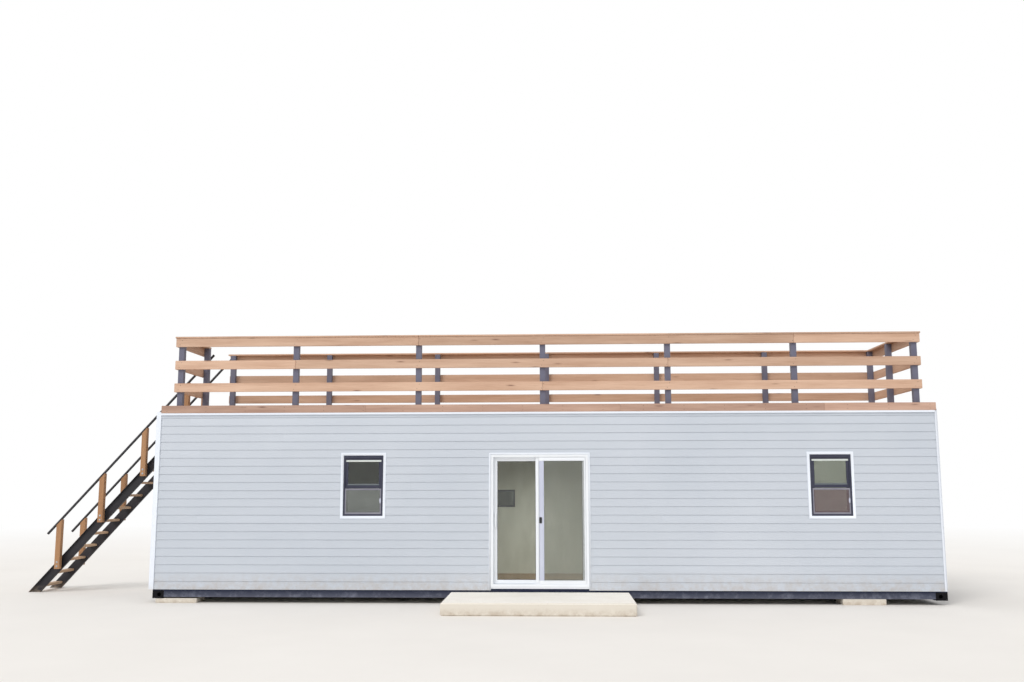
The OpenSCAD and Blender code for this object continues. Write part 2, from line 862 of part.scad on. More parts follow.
module screen_latch() {
    place() color("black")
        block([screen_x0, screen_x0 + latch_w], [y_screen[0] - latch_t, y_screen[0]],
            [z_latch - latch_h / 2, z_latch + latch_h / 2]);
}

// Depth planes of the front windows' parts, and the middle of their meeting rails
y_upper = [sash_setback, sash_setback + sash_t];
y_lower = [y_upper[1] + sash_gap, y_upper[1] + sash_gap + sash_t];
y_net = [y_upper[0] - net_gap - net_t, y_upper[0] - net_gap];
z_meet = z_window + window_h / 2 - meeting_drop;

// The back window's plane, from outside to inside
back_window_y = [cont_w + frame_proud - window_depth, cont_w + frame_proud];

module window_frames() {
    f = window_face;
    place() color("black") {
        for (x = [window_x_left, window_x_right])
            frame([x - window_w / 2, x + window_w / 2], [-frame_proud, -frame_proud + window_depth],
                [z_window, z_window + window_h], [f, f, f, window_head]);
        frame([back_window_x - back_window_w / 2, back_window_x + back_window_w / 2], back_window_y,
            [z_back_window, z_back_window + back_window_h], [f, f, f, f]);
    }
}

module window_sashes() {
    s = sash_face;
    side = window_w / 2 - window_face;
    place() color("black") for (x = [window_x_left, window_x_right]) {
        frame([x - side, x + side], y_upper, [z_meet - meeting_h / 2, z_window + window_h - window_head],
            [s, s, meeting_h, s]);
        frame([x - side, x + side], y_lower, [z_window + window_face, z_meet + meeting_h / 2],
            [s, s, s, meeting_h]);
    }
}

module window_glass() {
    f = window_face;
    s = sash_face;
    side = window_w / 2 - f - s;
    place() color("lightblue") {
        for (x = [window_x_left, window_x_right]) {
            pane([x - side, x + side], y_upper,
                [z_meet + meeting_h / 2, z_window + window_h - window_head - s], sash_pane_t);
            pane([x - side, x + side], y_lower, [z_window + f + s, z_meet - meeting_h / 2], sash_pane_t);
        }
        pane([back_window_x - back_window_w / 2 + f, back_window_x + back_window_w / 2 - f], back_window_y,
            [z_back_window + f, z_back_window + back_window_h - f], pane_t);
    }
}

module window_screens() {
    n = net_face;
    side = window_w / 2 - window_face;
    z = [z_window + window_face, z_meet - meeting_h / 2 - net_gap];
    place() color("gray") for (x = [window_x_left, window_x_right]) {
        frame([x - side, x + side], y_net, z, [n, n, n, n]);
        pane([x - side + n, x + side - n], y_net, [z[0] + n, z[1] - n], mesh_t);
    }
}

module doorstep() {
    place() color("lightgray") block([step_x - step_w / 2, step_x + step_w / 2], [-step_d, 0],
        [0, z_base + step_rise]);
}

module deck_joists() {
    first = x_wall - 2 * lumber_t;
    step = 2 * first / (joist_n - 1);
    place() color("tan") {
        for (i = [0:joist_n - 1])
            block([-first + i * step - lumber_t / 2, -first + i * step + lumber_t / 2], [0, cont_w],
                [z_joist, z_boards]);
        both_ends() block([-x_boards, -x_boards + lumber_t], [0, cont_w], [z_top, z_boards]);
    }
}

module deck_boards() {
    place() color("tan") block([-x_boards, x_boards], [0, cont_w], [z_boards, z_deck]);
}

module deck_fascia() {
    place() color("rosybrown") {
        both_sides() block([-x_deck, x_deck], [-fascia_t, 0], [z_fascia, z_deck]);
        both_ends() block([-x_deck, -x_boards], [0, cont_w], [z_top, z_deck]);
        ledger_space();
    }
}

module upright(x, y) {
    h = rail_post / 2;
    block([x - h, x + h], [y - h, y + h], [z_deck, z_cap - cap_t]);
}

module railing_posts() {
    place() color("dimgray") {
        for (x = front_post_xs) upright(x, row_y0);
        for (x = back_post_xs) upright(x, row_y1);
        both_ends() upright(-corner_post_x, end_post_y);
    }
}

// The boards of one railing panel as a stack, drawn between x and y
module boards(x, y) {
    for (k = [1:rail_rows])
        block(x, y, [z_deck + k * rail_gap + (k - 1) * rail_board, z_deck + k * (rail_gap + rail_board)]);
}

module railing_front() {
    place() color("burlywood") boards([-rail_x, rail_x], [rail_y0, rail_y0 + lumber_t]);
}

module railing_back() {
    place() color("burlywood") boards([-rail_x + back_inset, rail_x], [rail_y1 - lumber_t, rail_y1]);
}

module railing_ends() {
    place() color("burlywood") {
        boards([-rail_x, -rail_x + lumber_t], [rail_y0 + lumber_t, end_post_y + rail_post / 2]);
        boards([rail_x - lumber_t, rail_x], [rail_y0 + lumber_t, rail_y1 - lumber_t]);
    }
}

module railing_caps() {
    o = cap_over;
    x1 = rail_x + o;
    y0 = rail_y0 - o;
    y1 = rail_y1 + o;
    z = [z_cap - cap_t, z_cap];
    place() color("burlywood") {
        block([-x1, x1], [y0, y0 + cap_w], z);
        block([-x1 + back_inset, x1], [y1 - cap_w, y1], z);
        block([x1 - cap_w, x1], [y0 + cap_w, y1 - cap_w], z);
        block([-x1, -x1 + cap_w], [y0 + cap_w, end_post_y + rail_post / 2 + o], z);
    }
}

// The slanted band between two lines along the stringer, cut at the ground and at the ledger
module band(d0, d1) {
    polygon([[line_x(0, d1), 0], [line_x(0, d0), 0],
        [x_stair, line_z(x_stair, d0)], [x_stair, line_z(x_stair, d1)]]);
}

// A channel with its toes outwards, web from y0 to y1
module stringer(y_web, y_toe) {
    sheet(y_web[0], y_web[1]) band(0, stringer_h);
    sheet(y_toe[0], y_toe[1]) band(0, stringer_web);
    sheet(y_toe[0], y_toe[1]) band(stringer_h - stringer_web, stringer_h);
}

module stair_stringers() {
    near = stair_near;
    far = stair_far;
    place() color("dimgray") {
        stringer([near - stringer_web, near], [near - stringer_flange, near]);
        stringer([far, far + stringer_web], [far, far + stringer_flange]);
    }
}

// Place of tread n along X and its top, counted down from the level of the container's top
function tread_back(n) = x_stair + tread_cut - n * going;
function tread_x(n) = [tread_back(n) - tread_d, min(x_stair, tread_back(n))];
function tread_z(n) = z_top - n * riser;

module stair_treads() {
    place() color("burlywood") for (n = [0:treads])
        block(tread_x(n), [stair_near, stair_far], [tread_z(n) - tread_t, tread_z(n)]);
}

// An angle under a tread's end, on the inner face of the stringer at y
module cleat(x, y, side, z) {
    block(x, [min(y, y + side * cleat_w), max(y, y + side * cleat_w)], [z - cleat_t, z]);
    block(x, [min(y, y + side * cleat_t), max(y, y + side * cleat_t)], [z - cleat_w, z - cleat_t]);
}

module stair_cleats() {
    place() color("dimgray") for (n = [0:treads]) {
        x = [tread_x(n)[0] + cleat_front, tread_x(n)[1] - cleat_back];
        cleat(x, stair_near, 1, tread_z(n) - tread_t);
        cleat(x, stair_far, -1, tread_z(n) - tread_t);
    }
}

// The handrail's middle line lies this far above the stringer's lower edge line
rail_line = stringer_h + handrail_rise * cos(pitch);

module stair_post(x, y) {
    h = rail_post / 2;
    drop = handrail_d / 2;
    foot = line_z(x, stringer_h) - stair_post_drop;
    sheet(y - h, y + h) polygon([[x - h, foot], [x + h, foot],
        [x + h, line_z(x + h, rail_line - drop)], [x - h, line_z(x - h, rail_line - drop)]]);
}

module stair_posts() {
    place() color("sandybrown") for (i = [0:stair_post_n - 1], y = [near_post_y, far_post_y])
        stair_post(stair_post_x - i * stair_post_pitch, y);
}

// A tube up the slope that ends at x1
module handrail(y, x1) {
    x0 = stair_post_x - (stair_post_n - 1) * stair_post_pitch - handrail_tail;
    translate([x0, y, line_z(x0, rail_line)]) rotate([0, 90 - pitch, 0])
        cylinder(d = handrail_d, h = (x1 - x0) / cos(pitch));
}

module stair_handrails() {
    near_x = -corner_post_x;
    far_x = near_x + back_inset;
    post_face = rail_post / 2;
    place() color("black") {
        handrail(near_post_y, near_x + handrail_past);
        translate([near_x, end_post_y + post_face, line_z(near_x, rail_line)]) rotate([-90, 0, 0])
            cylinder(d = bracket_d, h = near_post_y - end_post_y - post_face);
        difference() {
            handrail(far_post_y, far_x);
            translate([far_x - post_face, 0, z_deck]) cube([rail_post, cont_w, railing_h]);
        }
    }
}

ground_pads();
corner_castings();
bottom_rails();
cross_members();
floor();
corner_posts();
top_rails();
front_wall_left();
front_wall_right();
front_wall_head();
back_wall();
left_end_wall();
right_end_wall();
roof();
cargo_doors();
lock_rods();
siding_front();
siding_back();
siding_left_end();
siding_trims();
opening_casings();
patio_frame();
fixed_panel();
fixed_glass();
sliding_panel();
sliding_glass();
door_pull();
screen_frame();
screen_mesh();
screen_latch();
window_frames();
window_sashes();
window_glass();
window_screens();
doorstep();
deck_joists();
deck_boards();
deck_fascia();
railing_posts();
railing_front();
railing_back();
railing_ends();
railing_caps();
stair_stringers();
stair_treads();
stair_cleats();
stair_posts();
stair_handrails();
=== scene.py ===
# %% [markdown]
# # A container cabin with a deck on its roof
# The real cabin is a twelve metre steel freight container on concrete pads, clad in pale siding.
# It has a sliding patio door, three windows, a timber deck with a railing, and a steel stair.
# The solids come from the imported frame. This lesson gives them their finish, and replaces the plain
# ones with the panels, boards, profiles and fixings that a builder would really put there.

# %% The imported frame
import math
import random

import bmesh
import bpy
from mathutils import Matrix, Vector, noise as field_noise


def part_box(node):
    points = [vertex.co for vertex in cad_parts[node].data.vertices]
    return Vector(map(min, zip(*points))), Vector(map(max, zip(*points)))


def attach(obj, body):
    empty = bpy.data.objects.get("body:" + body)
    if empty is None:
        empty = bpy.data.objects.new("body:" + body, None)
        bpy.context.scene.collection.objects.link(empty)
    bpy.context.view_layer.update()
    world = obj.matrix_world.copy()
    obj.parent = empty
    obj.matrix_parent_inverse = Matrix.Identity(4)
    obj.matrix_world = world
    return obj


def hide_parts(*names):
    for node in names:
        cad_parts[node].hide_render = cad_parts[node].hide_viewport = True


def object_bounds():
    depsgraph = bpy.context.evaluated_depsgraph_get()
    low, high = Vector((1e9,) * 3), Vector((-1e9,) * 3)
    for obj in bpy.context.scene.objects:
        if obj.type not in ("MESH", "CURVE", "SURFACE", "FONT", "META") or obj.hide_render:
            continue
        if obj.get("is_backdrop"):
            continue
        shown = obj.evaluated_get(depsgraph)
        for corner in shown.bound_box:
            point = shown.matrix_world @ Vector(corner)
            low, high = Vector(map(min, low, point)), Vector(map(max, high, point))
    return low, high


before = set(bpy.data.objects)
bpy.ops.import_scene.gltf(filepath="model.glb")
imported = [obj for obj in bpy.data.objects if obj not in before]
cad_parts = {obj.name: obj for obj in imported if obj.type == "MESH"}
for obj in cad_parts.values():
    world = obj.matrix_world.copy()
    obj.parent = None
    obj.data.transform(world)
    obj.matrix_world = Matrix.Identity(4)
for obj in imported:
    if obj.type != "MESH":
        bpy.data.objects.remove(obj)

MM = 0.001
WELD = 0.00002
BODY = "cabin"
scene = bpy.context.scene
scene.view_settings.view_transform = "Standard"
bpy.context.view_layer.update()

# %% [markdown]
# ## Words for node trees
# Every finish below is a graph of nodes. Writing each node, its settings and its links on one line
# keeps a finish readable, so one small function adds a node, and others name the usual steps.

# %% Adding nodes


def put(tree, kind, inputs=(), **settings):
    """Adds a node. Inputs go to sockets by name or number, and may be values or other sockets."""
    node = tree.nodes.new(kind)
    for key, value in settings.items():
        setattr(node, key, value)
    for key, value in dict(inputs).items():
        named = [socket for socket in node.inputs if socket.name == key and socket.enabled]
        socket = named[0] if named else node.inputs[key]
        if isinstance(value, bpy.types.NodeSocket):
            tree.links.new(value, socket)
        else:
            socket.default_value = value
    return node


def first(node):
    """The first output that is in use."""
    return next(socket for socket in node.outputs if socket.enabled)


def maths(tree, operation, *values):
    return first(put(tree, "ShaderNodeMath", dict(enumerate(values)), operation=operation))


def vector_maths(tree, operation, *values):
    return first(put(tree, "ShaderNodeVectorMath", dict(enumerate(values)), operation=operation))


def remap(tree, value, low, high, to_low=0.0, to_high=1.0):
    """Stretches the values from low to high over a new range, and clips what is outside."""
    inputs = dict(enumerate((value, low, high, to_low, to_high)))
    return first(put(tree, "ShaderNodeMapRange", inputs))


def scaled(tree, vector, share):
    return first(put(tree, "ShaderNodeVectorMath", {0: vector, "Scale": share}, operation="SCALE"))


def distance(tree, vector):
    return put(tree, "ShaderNodeVectorMath", {0: vector}, operation="LENGTH").outputs["Value"]


def part(tree, vector, axis):
    """One of a vector's three numbers."""
    return put(tree, "ShaderNodeSeparateXYZ", {0: vector}).outputs[axis]


trial = bpy.data.node_groups.new("Trial", "ShaderNodeTree")
maths(trial, "ADD", part(trial, (0.1, 0.2, 0.3), 2), 1.0)
print("one line of steps makes", len(trial.nodes), "nodes and", len(trial.links), "link")
bpy.data.node_groups.remove(trial)

# %% [markdown]
# A colour is easiest to choose as it looks on screen, but a shader works in linear numbers. The
# helpers turn one into the other. Noise stands behind most weathering, and a group of nodes gets
# its named inputs and outputs here.

# %% Colours, noise and empty groups


def srgb(red, green, blue):
    """A colour as it looks on screen, from 0 to 255, turned into the linear numbers of a shader."""
    parts = [c / 255 for c in (red, green, blue)]
    linear = [c / 12.92 if c <= 0.04045 else ((c + 0.055) / 1.055) ** 2.4 for c in parts]
    return (*linear, 1.0)


def mixed(tree, share, low, high):
    """A colour between two others. Three plain numbers are a colour as it looks on screen."""
    ends = [srgb(*end) if isinstance(end, tuple) and len(end) == 3 else end for end in (low, high)]
    inputs = {"Factor": share, "A": ends[0], "B": ends[1]}
    return first(put(tree, "ShaderNodeMix", inputs, data_type="RGBA"))


def noise(tree, vector, scale, detail=3.0, rough=0.55):
    inputs = {"Vector": vector, "Scale": scale, "Detail": detail, "Roughness": rough}
    return first(put(tree, "ShaderNodeTexNoise", inputs))


def new_tree(name, kind, takes, gives):
    """An empty group with named inputs and outputs, and its two end nodes' sockets."""
    tree = bpy.data.node_groups.new(name, kind)
    add = tree.interface.new_socket
    for label, (sort, value) in takes.items():
        made = add(name=label, in_out="INPUT", socket_type="NodeSocket" + sort)
        if value is not None:
            made.default_value = value
    for label, sort in gives.items():
        add(name=label, in_out="OUTPUT", socket_type="NodeSocket" + sort)
    return tree, tree.nodes.new("NodeGroupInput").outputs, tree.nodes.new("NodeGroupOutput").inputs


MIDDLE_GREY = (128, 128, 128)
print("a middle grey in linear numbers:", [round(c, 3) for c in srgb(*MIDDLE_GREY)])

# %% [markdown]
# ## Effects that several finishes share
# Clouding, ground splash, worn edges and timber figure turn up on many surfaces. On the navy steel
# the ground splash is painted bounce light, lighter towards the foot. Each is a node group with
# named inputs, so a finish places it with its own values. A group gives masks, colours and heights,
# and the shader itself stays in the material.

# %% Clouding, splash and wear


def link_out(tree, gives, **sockets):
    for label, socket in sockets.items():
        tree.links.new(socket, gives[label])


def cloud_group():
    """Broad, soft patches: the uneven fading of anything that stands outside."""
    takes = {"Vector": ("Vector", None), "Scale": ("Float", 1.0)}
    tree, given, gives = new_tree("Clouds", "ShaderNodeTree", takes, {"Amount": "Float"})
    patches = noise(tree, given["Vector"], given["Scale"], 5.0, 0.6)
    link_out(tree, gives, Amount=remap(tree, patches, 0.32, 0.68))
    return tree


def splash_and_bounce_group():
    """A colour thick at the foot, broken up unless it is even: mud, and on the navy steel painted
    bounce light.
    """
    takes = {"Vector": ("Vector", None), "Reach": ("Float", 0.3), "Even": ("Float", 0.0)}
    tree, given, gives = new_tree("Ground splash", "ShaderNodeTree", takes, {"Amount": "Float"})
    height = part(tree, given["Vector"], 2)
    low = maths(tree, "SUBTRACT", 1.0, maths(tree, "DIVIDE", height, given["Reach"]))
    specks = remap(tree, noise(tree, given["Vector"], 9.0, 6.0, 0.7), 0.35, 0.75)
    specks = maths(tree, "MAXIMUM", specks, given["Even"])
    link_out(tree, gives, Amount=maths(tree, "MULTIPLY", maths(tree, "MAXIMUM", low, 0.0), specks))
    return tree


def wear_group():
    """Rubbed edges: the eased faces that carry edge = 1, where noise lets them show."""
    takes = {"Vector": ("Vector", None), "Edge": ("Float", 0.0), "Scale": ("Float", 14.0)}
    tree, given, gives = new_tree("Edge wear", "ShaderNodeTree", takes, {"Amount": "Float"})
    chips = remap(tree, noise(tree, given["Vector"], given["Scale"], 7.0, 0.7), 0.48, 0.6)
    link_out(tree, gives, Amount=maths(tree, "MULTIPLY", chips, given["Edge"]))
    return tree


def grit_group():
    """Fine unevenness of paint, plastic and concrete, as a height."""
    takes = {"Vector": ("Vector", None), "Scale": ("Float", 250.0)}
    tree, given, gives = new_tree("Grit", "ShaderNodeTree", takes, {"Height": "Float"})
    fine = noise(tree, given["Vector"], given["Scale"], 2.0, 0.5)
    broad = noise(tree, given["Vector"], maths(tree, "MULTIPLY", given["Scale"], 0.07), 3.0, 0.5)
    link_out(tree, gives, Height=maths(tree, "MULTIPLY_ADD", fine, 0.4, broad))
    return tree


CLOUDS = cloud_group()
SPLASH_AND_BOUNCE = splash_and_bounce_group()
WEAR = wear_group()
GRIT = grit_group()
print("shared groups:", CLOUDS.name, SPLASH_AND_BOUNCE.name, WEAR.name, GRIT.name)

# %% [markdown]
# ## Timber figure
# A sawn board shows the tree's rings as long bands, fine streaks along the grain, and knots.
# Each board carries its own coordinates in the attribute grain, with X along the board, so one
# group serves boards that run in any direction. The distance from a pith outside the board gives
# the bands.

# %% The timber group
RING_WIDTH = 0.0075
PITH = (0.0, 0.11, 0.05)


def timber_group():
    takes = {"Grain": ("Vector", None), "Tone": ("Float", 0.5), "Pale": ("Color", None),
             "Dark": ("Color", None), "Knot": ("Color", None)}
    gives_types = {"Color": "Color", "Height": "Float"}
    tree, given, gives = new_tree("Timber", "ShaderNodeTree", takes, gives_types)
    along = vector_maths(tree, "MULTIPLY", given["Grain"], (0.5, 5.0, 5.0))
    waver = maths(tree, "MULTIPLY", noise(tree, along, 1.0, 3.0), 0.035)
    from_pith = vector_maths(tree, "ADD", given["Grain"], PITH)
    from_pith = distance(tree, vector_maths(tree, "MULTIPLY", from_pith, (0.0, 1.0, 1.0)))
    phase = maths(tree, "MULTIPLY", maths(tree, "ADD", from_pith, waver), math.tau / RING_WIDTH)
    rings = maths(tree, "MULTIPLY_ADD", maths(tree, "SINE", phase), 0.5, 0.5)
    stretched = vector_maths(tree, "MULTIPLY", given["Grain"], (3.0, 120.0, 120.0))
    streaks = remap(tree, noise(tree, stretched, 1.0, 4.0, 0.6), 0.3, 0.7)
    broad_at = vector_maths(tree, "MULTIPLY", given["Grain"], (0.8, 9.0, 9.0))
    broad = remap(tree, noise(tree, broad_at, 1.0, 2.0), 0.3, 0.7)
    figure = maths(tree, "MULTIPLY_ADD", rings, 0.28, maths(tree, "MULTIPLY", streaks, 0.34))
    figure = maths(tree, "MULTIPLY_ADD", broad, 0.4, figure)
    knots_at = vector_maths(tree, "MULTIPLY", given["Grain"], (1.7, 9.0, 3.0))
    cells = put(tree, "ShaderNodeTexVoronoi", {"Vector": knots_at, "Scale": 1.0, "Randomness": 1.0})
    knots = maths(tree, "POWER", remap(tree, cells.outputs["Distance"], 0.2, 0.04), 2.0)
    wood = mixed(tree, figure, given["Pale"], given["Dark"])
    value = maths(tree, "MULTIPLY_ADD", given["Tone"], 0.26, 0.87)
    toned = put(tree, "ShaderNodeHueSaturation", {"Value": value, "Color": wood}).outputs[0]
    colour = mixed(tree, maths(tree, "MULTIPLY", knots, 0.75), toned, given["Knot"])
    height = maths(tree, "MULTIPLY_ADD", streaks, 0.6, maths(tree, "MULTIPLY", rings, 0.3))
    link_out(tree, gives, Color=colour, Height=height)
    return tree


TIMBER = timber_group()
print("rings of", RING_WIDTH / MM, "mm in", TIMBER.name)

# %% [markdown]
# ## Finishes
# Most of this cabin is either coated or sawn. A coated finish is a base colour that clouds towards
# a second one, fine relief, rubbed edges, and dirt near the ground, which on the navy steel is
# painted bounce light instead. Written once with parameters, it serves vinyl, paint and galvanised
# steel, and each call below is one real material.

# %% How a material starts and ends


def blank(name):
    """A new material, its tree, and the place on the object."""
    material = bpy.data.materials.new(name)
    material.use_nodes = True
    tree = material.node_tree
    tree.nodes.clear()
    return material, tree, put(tree, "ShaderNodeTexCoord").outputs["Object"]


def group(tree, node_tree, output, **inputs):
    return put(tree, "ShaderNodeGroup", inputs, node_tree=node_tree).outputs[output]


def attribute(tree, name, output):
    return put(tree, "ShaderNodeAttribute", attribute_name=name).outputs[output]


def close(tree, inputs, height=None, relief=0.0002):
    """Ends a material with its Principled shader, and a bump where there is a height."""
    if height is not None:
        bump = put(tree, "ShaderNodeBump", {"Height": height, "Distance": relief, "Strength": 1.0})
        inputs = {**inputs, "Normal": bump.outputs[0]}
    shader = put(tree, "ShaderNodeBsdfPrincipled", inputs)
    put(tree, "ShaderNodeOutputMaterial", {"Surface": shader.outputs[0]})


def blend(tree, share, near, far, output="ShaderNodeOutputMaterial"):
    """Ends a tree with a mix of two shaders. The share is the second one's."""
    both = put(tree, "ShaderNodeMixShader", {0: share, 1: near.outputs[0], 2: far.outputs[0]})
    put(tree, output, {"Surface": both.outputs[0]})


print("materials so far:", len(bpy.data.materials))

# %% [markdown]
# Between those ends come the layers, in the order in which they come about on the real thing: the
# paint and its fading, then what is rubbed off, then the dirt on top. On the navy steel that last
# layer is painted bounce light instead. Timber takes its colour from the group above, and its relief
# follows the same streaks.

# %% Coated surfaces and timber
MUD = (176, 158, 138)


def coated(name, colour, cloud, rough, scale=0.6, grit=260.0, relief=0.0002, metal=0.0, gloss=0.5,
           rubbed=None, splash=0.0, dirt_and_bounce_light=MUD, even=0.0, embossed=False):
    """Paint, vinyl or plating. Rubbed is what shows at worn edges, splash how high the foot colour
    reaches:
    mud, except on the navy steel, where it is painted bounce light.

    Gloss is the shader's specular level: old paint that has turned chalky reflects very little.
    """
    material, tree, place = blank(name)
    clouds = group(tree, CLOUDS, "Amount", Vector=place, Scale=scale)
    base = mixed(tree, clouds, colour, cloud)
    if rubbed:
        worn = group(tree, WEAR, "Amount", Vector=place, Edge=attribute(tree, "edge", "Fac"))
        base = mixed(tree, worn, base, rubbed)
    if splash:
        dirt_and_bounce_amount = group(tree, SPLASH_AND_BOUNCE, "Amount", Vector=place, Reach=splash, Even=even)
        base = mixed(tree, dirt_and_bounce_amount, base, dirt_and_bounce_light)
    height = group(tree, GRIT, "Height", Vector=place, Scale=grit)
    if embossed:
        grain = attribute(tree, "grain", "Vector")
        grain = noise(tree, vector_maths(tree, "MULTIPLY", grain, (14.0, 160.0, 160.0)), 1.0)
        height = maths(tree, "MULTIPLY_ADD", grain, 1.5, height)
    roughness = remap(tree, clouds, 0.0, 1.0, rough - 0.05, rough + 0.07)
    close(tree, {"Base Color": base, "Roughness": roughness, "Metallic": metal,
                 "Specular IOR Level": gloss}, height, relief)
    return material


def timber(name, pale, dark, knot, rough=0.72, relief=0.0004, splash=0.0):
    material, tree, place = blank(name)
    wood = put(tree, "ShaderNodeGroup", {
        "Grain": attribute(tree, "grain", "Vector"), "Tone": attribute(tree, "tone", "Fac"),
        "Pale": srgb(*pale), "Dark": srgb(*dark), "Knot": srgb(*knot)}, node_tree=TIMBER)
    base = wood.outputs["Color"]
    edge = attribute(tree, "edge", "Fac")
    worn = group(tree, WEAR, "Amount", Vector=place, Edge=edge, Scale=30.0)
    base = mixed(tree, maths(tree, "MULTIPLY", worn, 0.5), base, pale)
    if splash:
        base = mixed(tree, group(tree, SPLASH_AND_BOUNCE, "Amount", Vector=place, Reach=splash), base, MUD)
    height = wood.outputs["Height"]
    roughness = remap(tree, height, 0.0, 1.0, rough + 0.08, rough - 0.06)
    close(tree, {"Base Color": base, "Roughness": roughness}, height, relief)
    return material


print("builders ready: coated and timber")

# %% [markdown]
# The siding is pale grey vinyl with a cedar grain pressed into it, so it takes the emboss. The
# trims and the door are plain white vinyl. The container's own steel was painted a dark navy, and
# the railing posts and the stair have newer, blacker paint that is already rubbed at the edges.

# %% The coated materials
BARE_STEEL, RUST = (150, 140, 132), (108, 80, 66)
VINYL = coated("Siding_vinyl", (193, 200, 210), (202, 208, 217), 0.42, 0.35, splash=0.5,
               embossed=True)
TRIM = coated("Trim_vinyl", (239, 245, 254), (233, 239, 250), 0.36, 0.8, splash=0.3)
FRAME_WHITE = coated("Door_frame_white", (244, 248, 253), (238, 242, 248), 0.32, 1.5)
# The lilac on the door screen's left stile is painted shade; the window screens' tabs use it too.
STILE_SHADE_AND_TAB_LILAC = coated("Screen_frame_lilac", (206, 210, 228), (196, 200, 220), 0.38, 2.0)
BRONZE = coated("Window_frame_bronze", (54, 56, 74), (66, 68, 84), 0.4, 3.0, gloss=0.3,
                rubbed=(110, 108, 116))
SCREEN_RIM = coated("Window_screen_rim", (146, 145, 156), (128, 127, 140), 0.42, 4.0)
HEAD_STRIP = coated("Window_head_strip", (214, 220, 216), (202, 209, 206), 0.36, 5.0)
RAIL_GREY = coated("Window_meeting_rail_grey", (106, 114, 118), (92, 100, 106), 0.4, 5.0)
BLACK_PLASTIC = coated("Latch_black", (30, 31, 35), (44, 45, 50), 0.4, 12.0)
# The navy steel's foot colour, pale blue, even and reaching 0.2 m, is painted bounce light: the rails
# turn lighter and bluer towards the foot.
NAVY_STEEL = coated("Container_steel_navy", (30, 35, 55), (38, 44, 64), 0.6, 1.2, 60.0, 0.0006,
                    gloss=0.15, rubbed=RUST, splash=0.2, dirt_and_bounce_light=(178, 182, 200), even=0.34)
CASTING_STEEL = coated("Corner_casting_black", (17, 16, 19), (27, 26, 29), 0.6, 4.0, 45.0, 0.0012,
                       gloss=0.1, rubbed=(100, 78, 66))
POST_PAINT = coated("Railing_post_charcoal", (96, 96, 116), (110, 110, 128), 0.6, 2.5, 120.0,
                    0.0004, rubbed=(128, 126, 128))
STAIR_STEEL = coated("Stair_steel_black", (34, 33, 38), (50, 48, 53), 0.5, 2.2, 90.0, 0.0004,
                     gloss=0.35, rubbed=(112, 98, 88), splash=0.12)
RAIL_STEEL = coated("Handrail_black", (36, 36, 42), (52, 51, 56), 0.42, 4.0, 140.0, 0.00005,
                    rubbed=BARE_STEEL)
ZINC = coated("Galvanised_steel", (186, 189, 194), (160, 164, 170), 0.4, 9.0, 180.0, metal=0.85)
WALL_PAINT = coated("Room_wall_paint", (226, 228, 220), (216, 219, 210), 0.7, 1.0, 140.0, 0.0003)
DOOR_GASKET = coated("Door_seal_rubber", (34, 34, 36), (48, 48, 50), 0.8, 20.0)
print(len(bpy.data.materials), "materials")

# %% [markdown]
# The railing is cedar boards, warm and pale. The edge board under it is older stock that has gone
# greyer. Treads and decking are the same softwood, the treads rubbed pale on their noses.

# %% The timber materials
CEDAR = timber("Railing_cedar", (224, 192, 168), (176, 137, 112), (112, 74, 58))
EDGE_BOARD = timber("Edge_board_cedar", (212, 178, 158), (160, 124, 108), (104, 72, 64))
POST_WOOD = timber("Stair_post_pine", (190, 146, 106), (150, 106, 72), (92, 58, 40), splash=0.3)
TREAD_WOOD = timber("Tread_pine", (214, 184, 152), (164, 124, 92), (96, 66, 50), splash=0.5)
DECKING = timber("Deck_pine", (206, 178, 146), (164, 128, 98), (98, 68, 50))
JOIST_WOOD = timber("Joist_pine", (214, 188, 150), (178, 144, 106), (110, 76, 54))
PLANK_WOOD = timber("Room_plank_oak", (192, 160, 124), (150, 118, 86), (90, 64, 46), 0.45, 0.0002)
print(len(bpy.data.materials), "materials")

# %% [markdown]
# Concrete is neither coated nor sawn: it is a pale grey body with darker stains, pinholes where air
# was trapped, and a tone that darkens towards the foot. Its upright faces are painted darker than its
# top as painted shade. The pinholes are small Voronoi cells pressed into the height.

# %% Concrete


def concrete():
    material, tree, place = blank("Concrete")
    stains = group(tree, CLOUDS, "Amount", Vector=place, Scale=2.2)
    base = mixed(tree, stains, (254, 250, 243), (246, 241, 232))
    speckle = remap(tree, noise(tree, place, 210.0, 2.0), 0.55, 0.75)
    base = mixed(tree, maths(tree, "MULTIPLY", speckle, 0.25), base, (196, 188, 176))
    cells = put(tree, "ShaderNodeTexVoronoi", {"Vector": place, "Scale": 34.0})
    holes = remap(tree, cells.outputs["Distance"], 0.14, 0.08)
    base = mixed(tree, maths(tree, "MULTIPLY", holes, 0.6), base, (150, 140, 128))
    # Upright faces turn darker than the top: painted shade.
    normal = put(tree, "ShaderNodeNewGeometry").outputs["Normal"]
    side = maths(tree, "SUBTRACT", 1.0, maths(tree, "ABSOLUTE", part(tree, normal, 2)))
    base = mixed(tree, maths(tree, "MULTIPLY", side, 0.7), base, (214, 206, 192))
    # Darker towards the foot.
    base = mixed(tree, group(tree, SPLASH_AND_BOUNCE, "Amount", Vector=place, Reach=0.12), base, MUD)
    height = maths(tree, "SUBTRACT", group(tree, GRIT, "Height", Vector=place, Scale=180.0), holes)
    close(tree, {"Base Color": base, "Roughness": 0.88}, height, 0.0012)
    return material


CONCRETE = concrete()
print(CONCRETE.name)

# %% [markdown]
# Glass in a window is clear, faintly tinted and never perfectly clean. The Principled shader gives
# the reflections and the tint. Light has to reach the room, and a path tracer finds it hard to send
# lamp light through refracting glass, so shadow and diffuse rays pass straight through instead.

# %% Glass and insect mesh


